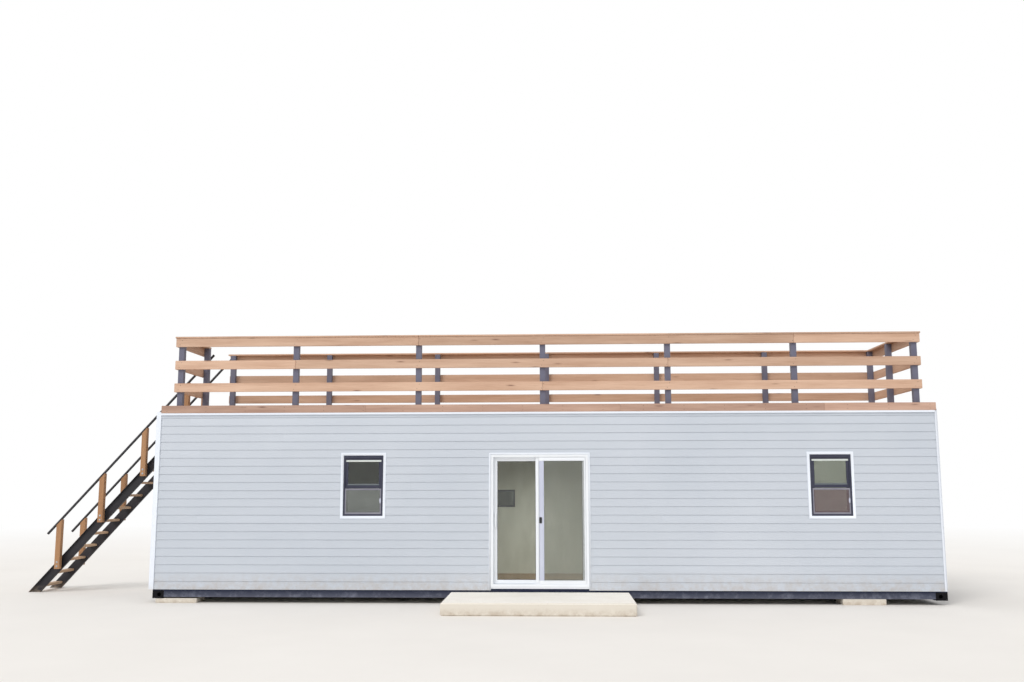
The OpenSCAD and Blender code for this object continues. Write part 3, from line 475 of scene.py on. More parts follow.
def glass(name, tint, film):
    material, tree, place = blank(name)
    stretched = vector_maths(tree, "MULTIPLY", place, (1.0, 1.0, 0.35))
    smears = remap(tree, noise(tree, stretched, 6.0, 5.0), 0.4, 0.8)
    base = mixed(tree, smears, tint, film)
    inputs = {"Base Color": base, "Roughness": remap(tree, smears, 0.0, 1.0, 0.0, 0.05),
              "Transmission Weight": 1.0, "IOR": 1.5}
    clear = put(tree, "ShaderNodeBsdfPrincipled", inputs)
    open_air = put(tree, "ShaderNodeBsdfTransparent", {"Color": srgb(*tint)})
    path = put(tree, "ShaderNodeLightPath")
    through = maths(tree, "MAXIMUM", path.outputs["Is Shadow Ray"], path.outputs["Is Diffuse Ray"])
    blend(tree, through, clear, open_air)
    return material


MESH_PITCH = 1.5 * MM


def insect_mesh(name, thread, cover):
    """A woven screen in the XZ plane: alpha is one on the threads and nought between them."""
    material, tree, place = blank(name)
    lines = []
    for axis in (0, 2):
        step = maths(tree, "FRACT", maths(tree, "DIVIDE", part(tree, place, axis), MESH_PITCH))
        lines.append(maths(tree, "LESS_THAN", step, cover))
    woven = maths(tree, "MAXIMUM", lines[0], lines[1])
    clouds = group(tree, CLOUDS, "Amount", Vector=place, Scale=3.0)
    dull = tuple(0.8 * c for c in srgb(*thread)[:3]) + (1.0,)
    base = mixed(tree, clouds, thread, dull)
    close(tree, {"Base Color": base, "Roughness": 0.7, "Alpha": woven})
    return material


CLEAR_GLASS = glass("Door_glass", (236, 240, 234), (222, 226, 218))
WINDOW_GLASS = glass("Window_glass", (200, 208, 204), (186, 194, 190))
DARK_GLASS = glass("Back_window_glass", (58, 60, 56), (52, 54, 50))
SCREEN_CLOTH = insect_mesh("Insect_mesh", (138, 142, 136), 0.27)
WINDOW_CLOTHS = {"left": insect_mesh("Insect_mesh_left", (126, 131, 128), 0.5),
                 "right": insect_mesh("Insect_mesh_right", (117, 102, 104), 0.5)}
print(len(bpy.data.materials), "materials in all")

# %% [markdown]
# ## Words for shapes
# A finished piece is a mesh at the origin that rides on a body. Most pieces here are boards with
# eased edges or frames with a moulded profile, so a few helpers make those from the frame's own
# solids, and no size is typed twice. A box is a pair of corners, the lowest and the highest.

# %% From the frame's solids to pieces
FLAT, SHARP = math.radians(0.5), math.radians(25)


def welded(node, joined=True):
    """A clean copy of a CAD node: doubles merged and, where asked, flat triangles joined."""
    bm = bmesh.new()
    bm.from_mesh(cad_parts[node].data)
    bmesh.ops.remove_doubles(bm, verts=bm.verts[:], dist=WELD)
    if joined:
        bmesh.ops.dissolve_limit(bm, angle_limit=FLAT, verts=bm.verts[:], edges=bm.edges[:])
    return bm


def islands(bm):
    """The groups of vertices that hang together."""
    left = set(bm.verts)
    while left:
        found, search = set(), [left.pop()]
        while search:
            vert = search.pop()
            found.add(vert)
            near = {edge.other_vert(vert) for edge in vert.link_edges} & left
            left -= near
            search.extend(near)
        yield found


def span(places):
    """The box round some points."""
    places = list(places)
    return [Vector([pick(place[axis] for place in places) for axis in range(3)])
            for pick in (min, max)]


def solids(node):
    """The boxes of a node's separate solids, from left to right."""
    bm = welded(node)
    boxes = [span(vert.co for vert in found) for found in islands(bm)]
    bm.free()
    return sorted(boxes, key=lambda box: tuple(box[0]))


print("window frames:", [[round(c, 3) for c in low] for low, high in solids("window_frames")])

# %% [markdown]
# No real edge is perfectly sharp. Even a narrow bevel catches the light and shows where a board
# ends, so every block gets one, and its faces are marked for the wear. The profile of this bevel is
# left at its default, 0. With one step that is a plain chamfer, but with two or three it is a small
# square groove. A profile of 0.5 would round the edge, and needs nearly twice the faces.

# %% Eased blocks


def ease_edges(bm, width, steps=2):
    """Bevels the sharp edges a little, and marks the new faces with edge = 1 for the wear."""
    layer = bm.faces.layers.float.new("edge")
    sharp = [edge for edge in bm.edges if edge.is_manifold and edge.calc_face_angle(0.0) > SHARP]
    made = bmesh.ops.bevel(bm, geom=sharp, offset=width, segments=steps, affect="EDGES",
                           clamp_overlap=True)
    for face in made["faces"]:
        face[layer] = 1.0


def add_block(bm, low, high):
    low, high = Vector(low), Vector(high)
    matrix = Matrix.Translation((low + high) / 2) @ Matrix.Diagonal((*(high - low), 1.0))
    bmesh.ops.create_cube(bm, size=1.0, matrix=matrix)


def blocks(boxes):
    bm = bmesh.new()
    for low, high in boxes:
        add_block(bm, low, high)
    return bm


def eased_blocks(boxes, width, steps=2):
    bm = blocks(boxes)
    ease_edges(bm, width, steps)
    return bm


trial = eased_blocks([((0, 0, 0), (1, 1, 1))], 10 * MM)
print("an eased block has", len(trial.faces), "faces")
trial.free()

# %% [markdown]
# No two boards are cut from the same place in a tree. Each separate board gets coordinates along
# its own length, shifted by chance, and a tone of its own. A fixed seed keeps them the same in
# every run.

# %% Boards with their own grain


def mesh_from(bm, name):
    mesh = bpy.data.meshes.new(name)
    bm.normal_update()
    bm.to_mesh(mesh)
    bm.free()
    return mesh


def mark_boards(mesh, seed):
    """Gives every separate board grain coordinates along its longest side, and its own tone."""
    dice = random.Random(seed)
    bm = bmesh.new()
    bm.from_mesh(mesh)
    grain = bm.verts.layers.float_vector.new("grain")
    tone = bm.verts.layers.float.new("tone")
    for found in sorted(islands(bm), key=lambda found: min(vert.index for vert in found)):
        low, high = span(vert.co for vert in found)
        axes = sorted(range(3), key=lambda axis: low[axis] - high[axis])
        shift = [dice.uniform(0.0, 60.0), dice.uniform(-0.06, 0.06), dice.uniform(-0.03, 0.03)]
        shade = dice.random()
        for vert in found:
            vert[grain] = Vector([vert.co[axis] - low[axis] for axis in axes]) + Vector(shift)
            vert[tone] = shade
    bm.to_mesh(mesh)
    bm.free()


trial = mesh_from(blocks([((0, 0, 0), (2, 0.14, 0.03))]), "trial")
mark_boards(trial, 1)
print("a board carries", [layer.name for layer in trial.attributes if layer.domain == "POINT"])
bpy.data.meshes.remove(trial)

# %% [markdown]
# A piece needs a finish, a body to ride on, and the names of the plain solids that it
# stands in for. One function says all of that, so that no piece can miss a part of it.

# %% Pieces that ride on a body


def linked(name, data):
    """A new object in the scene."""
    made = bpy.data.objects.new(name, data)
    scene.collection.objects.link(made)
    return made


def add_piece(name, shape, material, slot, *nodes, body=BODY, smooth=35, grain=None):
    """Puts a bmesh or a mesh in the scene as a piece, in place of CAD nodes or beside them.

    Grain is the seed for the grain of its boards, where it is made of boards.
    """
    mesh = mesh_from(shape, name) if isinstance(shape, bmesh.types.BMesh) else shape
    if grain is not None:
        mark_boards(mesh, grain)
    mesh.materials.clear()
    mesh.materials.append(material)
    mesh.polygons.foreach_set("use_smooth", [True] * len(mesh.polygons))
    mesh.set_sharp_from_angle(angle=math.radians(smooth))
    piece = linked(name, mesh)
    if nodes:
        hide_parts(*nodes)
    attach(piece, body)


def eased_node(node, width, material, slot, boards=False, body=BODY, steps=2):
    """Replaces a CAD node by the same shape with eased edges."""
    bm = welded(node)
    ease_edges(bm, width, steps)
    add_piece(node + "_finish", bm, material, slot, node, body=body,
              grain=len(node) if boards else None)


def paint(material, *nodes):
    """Gives CAD nodes that stay as they are their finish."""
    for node in nodes:
        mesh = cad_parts[node].data
        mesh.materials.clear()
        mesh.materials.append(material)


print("nodes to dress:", len(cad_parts))

# %% [markdown]
# ## Moulded frames
# A window sash, a door panel or a glazing bead is one profile swept round a rectangle and mitred at
# the corners. Each profile point says how far it lies across the side's face, from 0 at the outer
# edge to 1 at the inner one, how many more metres inwards, and at what depth. Sides may differ in
# width.

# %% Sweeping a profile round an opening


def mitred_ring(bm, box, widths, profile):
    """Sweeps profile points (share, extra, depth) round the front of a box."""
    low, high = box
    left, right, bottom, top = widths
    loops = []
    for share, extra, depth in profile:
        x0, x1 = low.x + share * left + extra, high.x - share * right - extra
        z0, z1 = low.z + share * bottom + extra, high.z - share * top - extra
        corners = ((x0, z0), (x1, z0), (x1, z1), (x0, z1))
        loops.append([bm.verts.new((x, depth, z)) for x, z in corners])
    faces = []
    for near, far in zip(loops, loops[1:] + loops[:1]):
        for k in range(4):
            n = (k + 1) % 4
            faces.append(bm.faces.new((near[k], near[n], far[n], far[k])))
    bmesh.ops.recalc_face_normals(bm, faces=faces)


def glazed_profile(front, back, bead=8 * MM):
    """A sash section: flat face, sloped bead towards the glass on both sides, square outer edge."""
    ease, slope = 1.5 * MM, 7 * MM
    return [(0, ease, front), (0, 0, front + ease), (0, 0, back - ease), (0, ease, back),
            (1, -bead, back), (1, 0, back - slope), (1, 0, front + slope), (1, -bead, front)]


print("a sash profile has", len(glazed_profile(0.0, 0.02)), "points")

# %% [markdown]
# ## Laying rows with Geometry Nodes
# Siding, decking and floor planks are all the same job: pieces are laid in rows, the joints are
# staggered, and everything is cut to the field it covers. One tree does it. It makes the points,
# instances the piece, realizes it, intersects it with the mesh of the field and sets its material.

# %% The row-laying tree


def copies(tree, piece, points, **turn):
    """A mesh of copies of an object, one on each point."""
    source = put(tree, "GeometryNodeObjectInfo", {"Object": piece}).outputs["Geometry"]
    laid = put(tree, "GeometryNodeInstanceOnPoints", {"Points": points, "Instance": source, **turn})
    return first(put(tree, "GeometryNodeRealizeInstances", {"Geometry": laid.outputs[0]}))


def finished(tree, mesh, finish):
    return first(put(tree, "GeometryNodeSetMaterial", {"Geometry": mesh, "Material": finish}))


def rows_tree():
    takes = {
        "Field": ("Geometry", None), "Piece": ("Object", None), "Columns": ("Int", 4),
        "Rows": ("Int", 4), "Start": ("Vector", None), "Column step": ("Vector", None),
        "Row step": ("Vector", None), "Stagger": ("Float", 0.5), "Scatter": ("Float", 0.0),
        "Overlap": ("Vector", None), "Seed": ("Int", 0), "Finish": ("Material", None)}
    tree, given, gives = new_tree("Lay rows", "GeometryNodeTree", takes, {"Laid": "Geometry"})
    index = first(put(tree, "GeometryNodeInputIndex"))
    row = maths(tree, "FLOOR", maths(tree, "DIVIDE", index, given["Columns"]))
    column = maths(tree, "SUBTRACT", index, maths(tree, "MULTIPLY", row, given["Columns"]))
    odd_row, odd_column = (maths(tree, "MODULO", count, 2.0) for count in (row, column))
    draw = {"Min": -1.0, "Max": 1.0, "ID": row, "Seed": given["Seed"]}
    chance = first(put(tree, "FunctionNodeRandomValue", draw, data_type="FLOAT"))
    scatter = maths(tree, "MULTIPLY", chance, given["Scatter"])
    shift = maths(tree, "MULTIPLY_ADD", odd_row, given["Stagger"], scatter)
    across = scaled(tree, given["Column step"], maths(tree, "ADD", column, shift))
    up = scaled(tree, given["Row step"], row)
    proud = scaled(tree, given["Overlap"], odd_column)
    place = vector_maths(tree, "ADD", vector_maths(tree, "ADD", given["Start"], across),
                         vector_maths(tree, "ADD", up, proud))
    count = maths(tree, "MULTIPLY", given["Columns"], given["Rows"])
    points = put(tree, "GeometryNodePoints", {"Count": count, "Position": place})
    pieces = copies(tree, given["Piece"], points.outputs[0])
    cut = put(tree, "GeometryNodeMeshBoolean", {1: pieces}, operation="INTERSECT", solver="EXACT")
    tree.links.new(given["Field"], cut.inputs[1])
    link_out(tree, gives, Laid=finished(tree, cut.outputs[0], given["Finish"]))
    return tree


ROWS = rows_tree()
print(ROWS.name, "takes", len(ROWS.interface.items_tree) - 1, "inputs")

# %% [markdown]
# A modifier runs the tree. It knows an input by its identifier, not by its name, so the names are
# looked up first. The result is kept as a plain mesh, and the object with the modifier goes away.

# %% Running a tree


def through_tree(tree, mesh, pattern, finish, **values):
    """Puts a mesh through a Geometry Nodes tree that copies a pattern, and returns a plain mesh.

    Both are in the scene only while the tree runs.
    """
    holder = linked(tree.name, mesh)
    piece = linked("pattern", mesh_from(pattern, "pattern"))
    modifier = holder.modifiers.new(tree.name, "NODES")
    modifier.node_group = tree
    ids = {item.name: item.identifier for item in tree.interface.items_tree}
    for label, value in {"Piece": piece, "Finish": finish, **values}.items():
        modifier[ids[label.replace("_", " ")]] = value
    view = bpy.context.evaluated_depsgraph_get()
    made = bpy.data.meshes.new_from_object(holder.evaluated_get(view))
    bpy.data.objects.remove(holder)
    bpy.data.objects.remove(piece)
    return made


print("identifiers:", [item.identifier for item in ROWS.interface.items_tree])

# %% [markdown]
# ## The siding
# Each vinyl panel covers two courses and is pressed from a thin sheet: a face that leans out, a
# butt that turns back, and the same again. It is one section drawn along its length, so it needs
# few faces, although there are hundreds of panels.

# %% One panel of lap siding
SHEET = 1.2 * MM
PANEL_LENGTH = 3.66
siding_low, siding_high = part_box("siding_front")
WALL_FACE = siding_high.y
COURSE = 127 * MM
BUTT = WALL_FACE - siding_low.y


def siding_section():
    """One panel's section, (depth, height): two courses outside, and back inside the sheet."""
    hem, neck, roll, play = 3.4 * MM, 3.6 * MM, 0.8 * MM, 0.6 * MM
    outside = []
    for z in (0.0, COURSE):
        outside += [(-hem, z), (roll - BUTT, z), (-BUTT, z + roll), (-neck, z + COURSE - play)]
    return outside + [(y + SHEET, z + SHEET) for y, z in reversed(outside)]


def siding_panel():
    bm = bmesh.new()
    ends = [[bm.verts.new((x, y, z)) for y, z in siding_section()] for x in (0.0, PANEL_LENGTH)]
    count = len(ends[0])
    for k in range(count):
        n = (k + 1) % count
        bm.faces.new((ends[0][k], ends[1][k], ends[1][n], ends[0][n]))
    for side in ends:
        for k in range(count // 2 - 1):
            bm.faces.new((side[k], side[k + 1], side[count - 2 - k], side[count - 1 - k]))
    bmesh.ops.recalc_face_normals(bm, faces=bm.faces[:])
    return bm


print("a panel's section has", len(siding_section()), "points")

# %% [markdown]
# Panels are 3.66 m long and lap over each other by an inch, so every other column stands one sheet
# thickness proud. The field is the CAD siding itself, made deeper, so the cuts round the windows
# and the door come from the frame.

# %% Laying the panels
END_LAP = 25 * MM
LIFT = 0.3 * MM
NEST = SHEET + 0.1 * MM


def deepened(node, axis, plane):
    """A copy of a node, twice as deep away from a plane, as the field that panels are cut to."""
    bm = welded(node, joined=False)
    for vert in bm.verts:
        vert.co[axis] = plane + 2 * (vert.co[axis] - plane)
    return mesh_from(bm, node + "_field")


def lay_siding(node, name, angle, start, length, seed):
    """Lays panels over a wall. In the wall's own frame X runs to the right, and -Y is outside."""
    turn = Matrix.Rotation(angle, 3, "Z")
    panel = siding_panel()
    bmesh.ops.transform(panel, matrix=turn.to_4x4(), verts=panel.verts[:])
    step = turn @ Vector((PANEL_LENGTH - END_LAP, 0.0, 0.0))
    low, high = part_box(node)
    depth = 0 if abs(step.x) < WELD else 1
    courses = Vector((0.0, 0.0, 2 * COURSE))
    mesh = through_tree(
        ROWS, deepened(node, depth, start[depth]), panel, VINYL,
        Columns=math.ceil(length / step.length) + 2, Rows=math.ceil((high.z - low.z) / courses.z),
        Start=start - step + Vector((0.0, 0.0, LIFT)), Column_step=step, Row_step=courses,
        Stagger=0.45, Scatter=0.3, Overlap=turn @ Vector((0.0, -NEST, -NEST)), Seed=seed)
    add_piece(name, mesh, VINYL, "vinyl_siding", node, smooth=20, grain=seed)
    print(name, len(mesh.polygons), "faces")


WALL_LENGTH = siding_high.x - siding_low.x
back_wall_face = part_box("siding_back")[1].y - BUTT
end_low, end_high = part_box("siding_left_end")
lay_siding("siding_front", "siding_panels_front", 0.0,
           Vector((siding_low.x, WALL_FACE, siding_low.z)), WALL_LENGTH, 11)
lay_siding("siding_back", "siding_panels_back", math.pi,
           Vector((siding_high.x, back_wall_face, siding_low.z)), WALL_LENGTH, 12)
lay_siding("siding_left_end", "siding_panels_end", -math.pi / 2,
           Vector((end_high.x, end_high.y, end_low.z)), end_high.y - end_low.y, 13)

# %% [markdown]
# ## Trims
# Corner posts, the finish trim under the deck edge and the casings are extruded white vinyl. Their
# outlines are right in the frame, so they only need a narrow bevel that catches the light.

# %% Corner posts and casings
eased_node("siding_trims", 2.5 * MM, TRIM, "white_trim")
eased_node("opening_casings", 2.5 * MM, TRIM, "white_trim")
print("casings", len(solids("opening_casings")))

# %% [markdown]
# ## The windows
# The two front windows are single hung: the upper glass is fixed, the lower sash stands one step
# further in, and half a screen covers it outside. All of it is dark bronze, but for a pale strip
# along the upper sash's head and a grey one on the meeting rail, where the two sashes lock. The
# small window at the back is one wide pane with a bar in the middle.
# The width of each side is the distance from a box of the frame to the box of what sits inside it.

# %% Single hung windows
frame_boxes = solids("window_frames")
sash_boxes = solids("window_sashes")
pane_boxes = solids("window_glass")
screen_boxes = solids("window_screens")
MULLION = 24 * MM


def is_front(box):
    return box[0].y < 0.0


def inside(outer, boxes):
    """The box round those boxes whose middle lies inside another box."""
    low, high = outer
    found = [box for box in boxes
             if all(low[a] < (box[0][a] + box[1][a]) / 2 < high[a] for a in range(3))]
    return span(corner for box in found for corner in box)


def borders(outer, hole):
    """How wide a frame's left, right, bottom and top sides are."""
    return (hole[0].x - outer[0].x, outer[1].x - hole[1].x,
            hole[0].z - outer[0].z, outer[1].z - hole[1].z)


def window_frames():
    """The outer frames: a raised rim, a step down to the sash track, and a deep reveal."""
    bm = bmesh.new()
    for box in frame_boxes:
        outer, way, holes = box[1].y, -1, pane_boxes
        if is_front(box):
            outer, way, holes = box[0].y, 1, sash_boxes
        deep = box[1].y - box[0].y
        section = [(0, 1.5 * MM, 0), (0, 0, 1.5 * MM), (0, 0, deep), (1, 0, deep), (1, 0, 9 * MM),
                   (1, -3 * MM, 6 * MM), (0.45, 0, 4 * MM), (0.4, 0, 0)]
        section = [(share, extra, outer + way * depth) for share, extra, depth in section]
        mitred_ring(bm, box, borders(box, inside(box, holes)), section)
    return bm


def window_sashes():
    bm = bmesh.new()
    for box in sash_boxes:
        widths = borders(box, inside(box, pane_boxes))
        mitred_ring(bm, box, widths, glazed_profile(box[0].y, box[1].y))
    low, high = next(box for box in pane_boxes if not is_front(box))
    middle = (low.x + high.x) / 2
    add_block(bm, (middle - MULLION / 2, high.y, low.z),
              (middle + MULLION / 2, high.y + MULLION / 2, high.z))
    return bm


add_piece("window_frame_rims", window_frames(), BRONZE, "bronze_frame", "window_frames")
add_piece("window_sash_rims", window_sashes(), BRONZE, "bronze_frame", "window_sashes")
print("windows:", len(frame_boxes), "frames,", len(sash_boxes), "sashes")

# %% [markdown]
# The panes keep the boxes that the frame gives them. The strips are thin blocks on the upper sash,
# as if they were stuck on there.

# %% Panes and strips
STRIP_RISE, STRIP_DROP = 16 * MM, 12 * MM
STRIP_THICK = 3 * MM
MEETING_STRIP = 24 * MM


def upper_sashes():
    """The sash and pane boxes of the two upper sashes."""
    sashes = sorted(sash_boxes, key=lambda box: box[1].z)[len(sash_boxes) // 2:]
    return [(sash, inside(sash, pane_boxes)) for sash in sashes]


def sash_strips(place):
    """A strip on each upper sash. Place gives its ends and heights, from the sash and the pane."""
    boxes = []
    for sash, pane in upper_sashes():
        y = sash[0].y
        x0, x1, z0, z1 = place(sash, pane)
        boxes.append(((x0, y - STRIP_THICK, z0), (x1, y, z1)))
    return eased_blocks(boxes, 1 * MM, 1)


def head_strip(sash, pane):
    return (sash[0].x + 4 * MM, sash[1].x - 4 * MM,
            pane[1].z - STRIP_DROP, pane[1].z + STRIP_RISE)


def meeting_strip(sash, pane):
    return (pane[0].x - 6 * MM, pane[1].x + 6 * MM,
            pane[0].z - MEETING_STRIP, pane[0].z - 2 * MM)


front_panes = blocks(box for box in pane_boxes if is_front(box))
back_panes = blocks(box for box in pane_boxes if not is_front(box))
add_piece("window_panes", front_panes, WINDOW_GLASS, "glass", "window_glass")
add_piece("back_window_pane", back_panes, DARK_GLASS, "glass")
add_piece("window_head_strips", sash_strips(head_strip), HEAD_STRIP, "white_frame")
add_piece("window_meeting_strips", sash_strips(meeting_strip), RAIL_GREY, "bronze_frame")
print(len(pane_boxes), "panes")

# %% [markdown]
# A window's screen is a rolled frame with a groove for its cord. The mesh in it is one flat sheet,
# because single threads would cost far more than the pattern in the material does.

# %% Window screens
NET_FACE, NET_SIDE, NET_INSET = 24 * MM, 17 * MM, 5 * MM
TAB_HALF = (12.5 * MM, 42 * MM)
TAB_IN, TAB_RISE, TAB_THICK = 13 * MM, 8 * MM, 3 * MM


def screen_tabs():
    """A pale oval tab on the right side of each screen, to lift it out by."""
    bm = bmesh.new()
    oval = Matrix.Rotation(math.pi / 2, 4, "X") @ Matrix.Diagonal((*TAB_HALF, 1, 1))
    for low, high in screen_boxes:
        place = (high.x - TAB_IN, low.y - TAB_THICK / 2, (low.z + high.z) / 2 + TAB_RISE)
        bmesh.ops.create_cone(bm, cap_ends=True, segments=28, radius1=1.0, radius2=0.85,
                              depth=TAB_THICK, matrix=Matrix.Translation(place) @ oval)
    return bm


def screen_rims():
    """A rolled aluminium frame: a flat with a groove for the cord that holds the mesh."""
    bm = bmesh.new()
    for box in screen_boxes:
        front, back = box[0].y, box[1].y
        groove = front + 2 * MM
        section = [(0, 0, front), (0, 0, back), (1, 0, back), (1, 0, front), (0.75, 0, front),
                   (0.65, 0, groove), (0.5, 0, groove), (0.4, 0, front)]
        mitred_ring(bm, box, (NET_SIDE, NET_SIDE, NET_FACE, NET_FACE), section)
    return bm


def cloth(box, inset, depth):
    """One flat sheet across a box, at a depth."""
    low, high = box
    x0, x1, z0, z1 = low.x + inset, high.x - inset, low.z + inset, high.z - inset
    bm = bmesh.new()
    bm.faces.new([bm.verts.new((x, depth, z)) for x, z in ((x0, z0), (x1, z0), (x1, z1), (x0, z1))])
    return bm


add_piece("window_screen_rims", screen_rims(), SCREEN_RIM, "bronze_frame", "window_screens")
add_piece("window_screen_tabs", screen_tabs(), STILE_SHADE_AND_TAB_LILAC, "white_frame")
for box, (side, finish) in zip(screen_boxes, WINDOW_CLOTHS.items()):
    add_piece("window_screen_cloth_" + side, cloth(box, NET_INSET, box[0].y + 5 * MM), finish,
              "insect_screen")
print(len(screen_boxes), "screens")

# %% [markdown]
# ## The patio door
# A white vinyl frame holds a fixed panel on the right and a sliding one on the left, and an insect
# screen is parked outside over the fixed half. The screen and the sliding panel are bodies of their
# own in the frame, so what belongs to them rides on them.

# %% The outer frame of the door
door_low, door_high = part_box("patio_frame")
JAMB = 36 * MM
SILL = 38 * MM
TRACK_HALF = 3 * MM
SEAL = 12 * MM
FLASHING = (11 * MM, 14 * MM)


def patio_frame():
    """The outer frame: a rim, a shallow step, a track for each moving panel, and a gap seal."""
    bm = bmesh.new()
    front, back = door_low.y, door_high.y
    lip = front + 2 * MM
    section = [(0, 2 * MM, front), (0, 0, lip), (0, 0, back), (1, 0, back), (1, 0, front + 6 * MM),
               (1, -4 * MM, lip), (0.3, 0, lip), (0.2, 0, front)]
    mitred_ring(bm, (door_low, door_high), (JAMB, JAMB, SILL, JAMB), section)
    left, right = door_low.x + JAMB, door_high.x - JAMB
    sill, head = door_low.z + SILL, door_high.z - JAMB
    for node in ("screen_frame", "sliding_panel"):
        low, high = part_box(node)
        middle = (low.y + high.y) / 2
        add_block(bm, (left, middle - TRACK_HALF, sill),
                  (right, middle + TRACK_HALF, low.z - 0.3 * MM))
    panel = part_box("sliding_panel")[0].y
    near, far = panel - 4 * MM, panel - 1.5 * MM
    add_block(bm, (left, near, sill), (left + SEAL, far, head))
    add_block(bm, (left + SEAL, near, head - SEAL), (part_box("fixed_panel")[0].x, far, head))
    return bm


def sill_flashing():
    """The white strip that closes the floor's edge under the frame, down to the bottom rail."""
    near, far = (door_low.y + depth for depth in FLASHING)
    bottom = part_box("bottom_rails")[1].z
    return eased_blocks([((door_low.x, near, bottom), (door_high.x, far, door_low.z))], 0.5 * MM, 1)


add_piece("patio_frame_rim", patio_frame(), FRAME_WHITE, "white_frame", "patio_frame")
add_piece("door_sill_flashing", sill_flashing(), FRAME_WHITE, "white_frame")
print("patio door", [round(v, 3) for v in door_high - door_low])

# %% [markdown]
# Both panels are the same extrusion as a sash, only larger. A thin dark seal runs round the glass
# on both faces, and it is what makes the glass look set in rather than glued on.

# %% The glazed panels


def panel_ring(panel, glass_node, name, body=BODY):
    """A glazed panel: the section goes round, with each side as wide as the CAD panel's."""
    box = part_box(panel)
    bm = bmesh.new()
    mitred_ring(bm, box, borders(box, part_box(glass_node)),
                glazed_profile(box[0].y, box[1].y, 9 * MM))
    add_piece(name, bm, FRAME_WHITE, "white_frame", panel, body=body)


def gasket(glass_node, name, body=BODY):
    """The thin dark seal where the glass meets the bead."""
    low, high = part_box(glass_node)
    bm = bmesh.new()
    for near, far in ((low.y - 1.5 * MM, low.y), (high.y, high.y + 1.5 * MM)):
        mitred_ring(bm, (low, high), (5 * MM,) * 4,
                    [(0, 0, near), (0, 0, far), (1, 0, far), (1, 0, near)])
    add_piece(name, bm, DOOR_GASKET, "black_latch", body=body)


panel_ring("fixed_panel", "fixed_glass", "fixed_panel_rim")
panel_ring("sliding_panel", "sliding_glass", "sliding_panel_rim", "sliding_door")
gasket("fixed_glass", "fixed_glass_seal")
gasket("sliding_glass", "sliding_glass_seal", "sliding_door")
paint(CLEAR_GLASS, "fixed_glass", "sliding_glass")
eased_node("door_pull", 3 * MM, FRAME_WHITE, "white_frame", body="sliding_door")
low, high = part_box("sliding_panel")
print("sliding panel", [round(v, 3) for v in high - low])

# %% [markdown]
# The insect screen is one light ring with a black pull. Its left stile has a cooler lilac tone than
# its other sides, painted shade, so the ring is swept once for each of the two finishes, cut across
# where the stile ends, and only the wanted part is kept.

# %% The insect screen


def screen_sides(stile):
    """The screen's left stile alone, square between the rails, or all the rest of its ring."""
    low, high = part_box("screen_frame")
    hole_low, hole_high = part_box("screen_mesh")
    ease, groove = 1.5 * MM, low.y + 2 * MM
    section = [(0, ease, low.y), (0, 0, low.y + ease), (0, 0, high.y), (1, 0, high.y),
               (1, 0, low.y + 3 * MM), (1, -3 * MM, low.y), (1, -9 * MM, low.y),
               (1, -10 * MM, groove), (1, -13 * MM, groove), (1, -14 * MM, low.y)]
    bm = bmesh.new()
    mitred_ring(bm, (low, high), borders((low, high), (hole_low, hole_high)), section)
    for z in (hole_low.z, hole_high.z):
        bmesh.ops.bisect_plane(bm, geom=bm.verts[:] + bm.edges[:] + bm.faces[:],
                               plane_co=(0, 0, z), plane_no=(0, 0, 1))
    others = []
    for face in bm.faces:
        x, y, z = face.calc_center_median()
        if (x < hole_low.x + ease and hole_low.z < z < hole_high.z) != stile:
            others.append(face)
    bmesh.ops.delete(bm, geom=others, context="FACES")
    return bm


def frontmost(face):
    return round(face.calc_center_median().y, 5), -face.calc_area()


def screen_latch():
    """A black pull: an eased plate with a finger cup and a small lever in it."""
    low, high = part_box("screen_latch")
    bm = eased_blocks([(low, high)], 4 * MM, 3)
    face = min(bm.faces, key=frontmost)
    bmesh.ops.inset_region(bm, faces=[face], thickness=5 * MM)
    for vert in face.verts:
        vert.co.y += 7 * MM
    x, z = (low.x + high.x) / 2, (low.z + high.z) / 2
    half = Vector((4 * MM, 4 * MM, 18 * MM))
    lever = Vector((x, low.y + 5 * MM, z))
    add_block(bm, lever - half, lever + half)
    return bm


add_piece("screen_door_rim", screen_sides(stile=False), FRAME_WHITE, "white_frame",
          "screen_frame", body="screen_door")
# The left stile's cooler lilac is painted shade.
add_piece("screen_door_stile", screen_sides(stile=True), STILE_SHADE_AND_TAB_LILAC, "white_frame",
          body="screen_door")
low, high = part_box("screen_mesh")
add_piece("screen_door_cloth", cloth((low, high), 0.0, (low.y + high.y) / 2), SCREEN_CLOTH,
          "insect_screen", "screen_mesh", body="screen_door")
add_piece("screen_door_latch", screen_latch(), BLACK_PLASTIC, "black_latch", "screen_latch",
          body="screen_door")
print("screen cloth", [round(v, 3) for v in high - low])

# %% [markdown]
# ## The room
# Not much of the room shows, but what shows through the door has to be there: painted walls, a
# ceiling and a floor of oak planks, laid with the same tree as the siding.

# %% Walls and planks
paint(WALL_PAINT, "front_wall_left", "front_wall_right", "front_wall_head", "back_wall",
      "left_end_wall", "right_end_wall", "roof", "floor")
PLANK = Vector((1.22, 0.18, 4 * MM))
PLANK_GAP = 1 * MM
floor_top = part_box("floor")[1].z
front_wall, back_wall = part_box("front_wall_left"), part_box("back_wall")
room_low = Vector((front_wall[0].x, front_wall[1].y, floor_top))
room_high = Vector((back_wall[1].x, back_wall[0].y, floor_top + PLANK.z))


def laid_boards(field, board, finish, step, **values):
    """Lays boards along X over the block between two corners. Step is board length by row pitch."""
    return through_tree(ROWS, mesh_from(blocks([field]), "field"), board, finish,
                        Column_step=Vector((step[0], 0, 0)), Row_step=Vector((0, step[1], 0)),
                        **values)


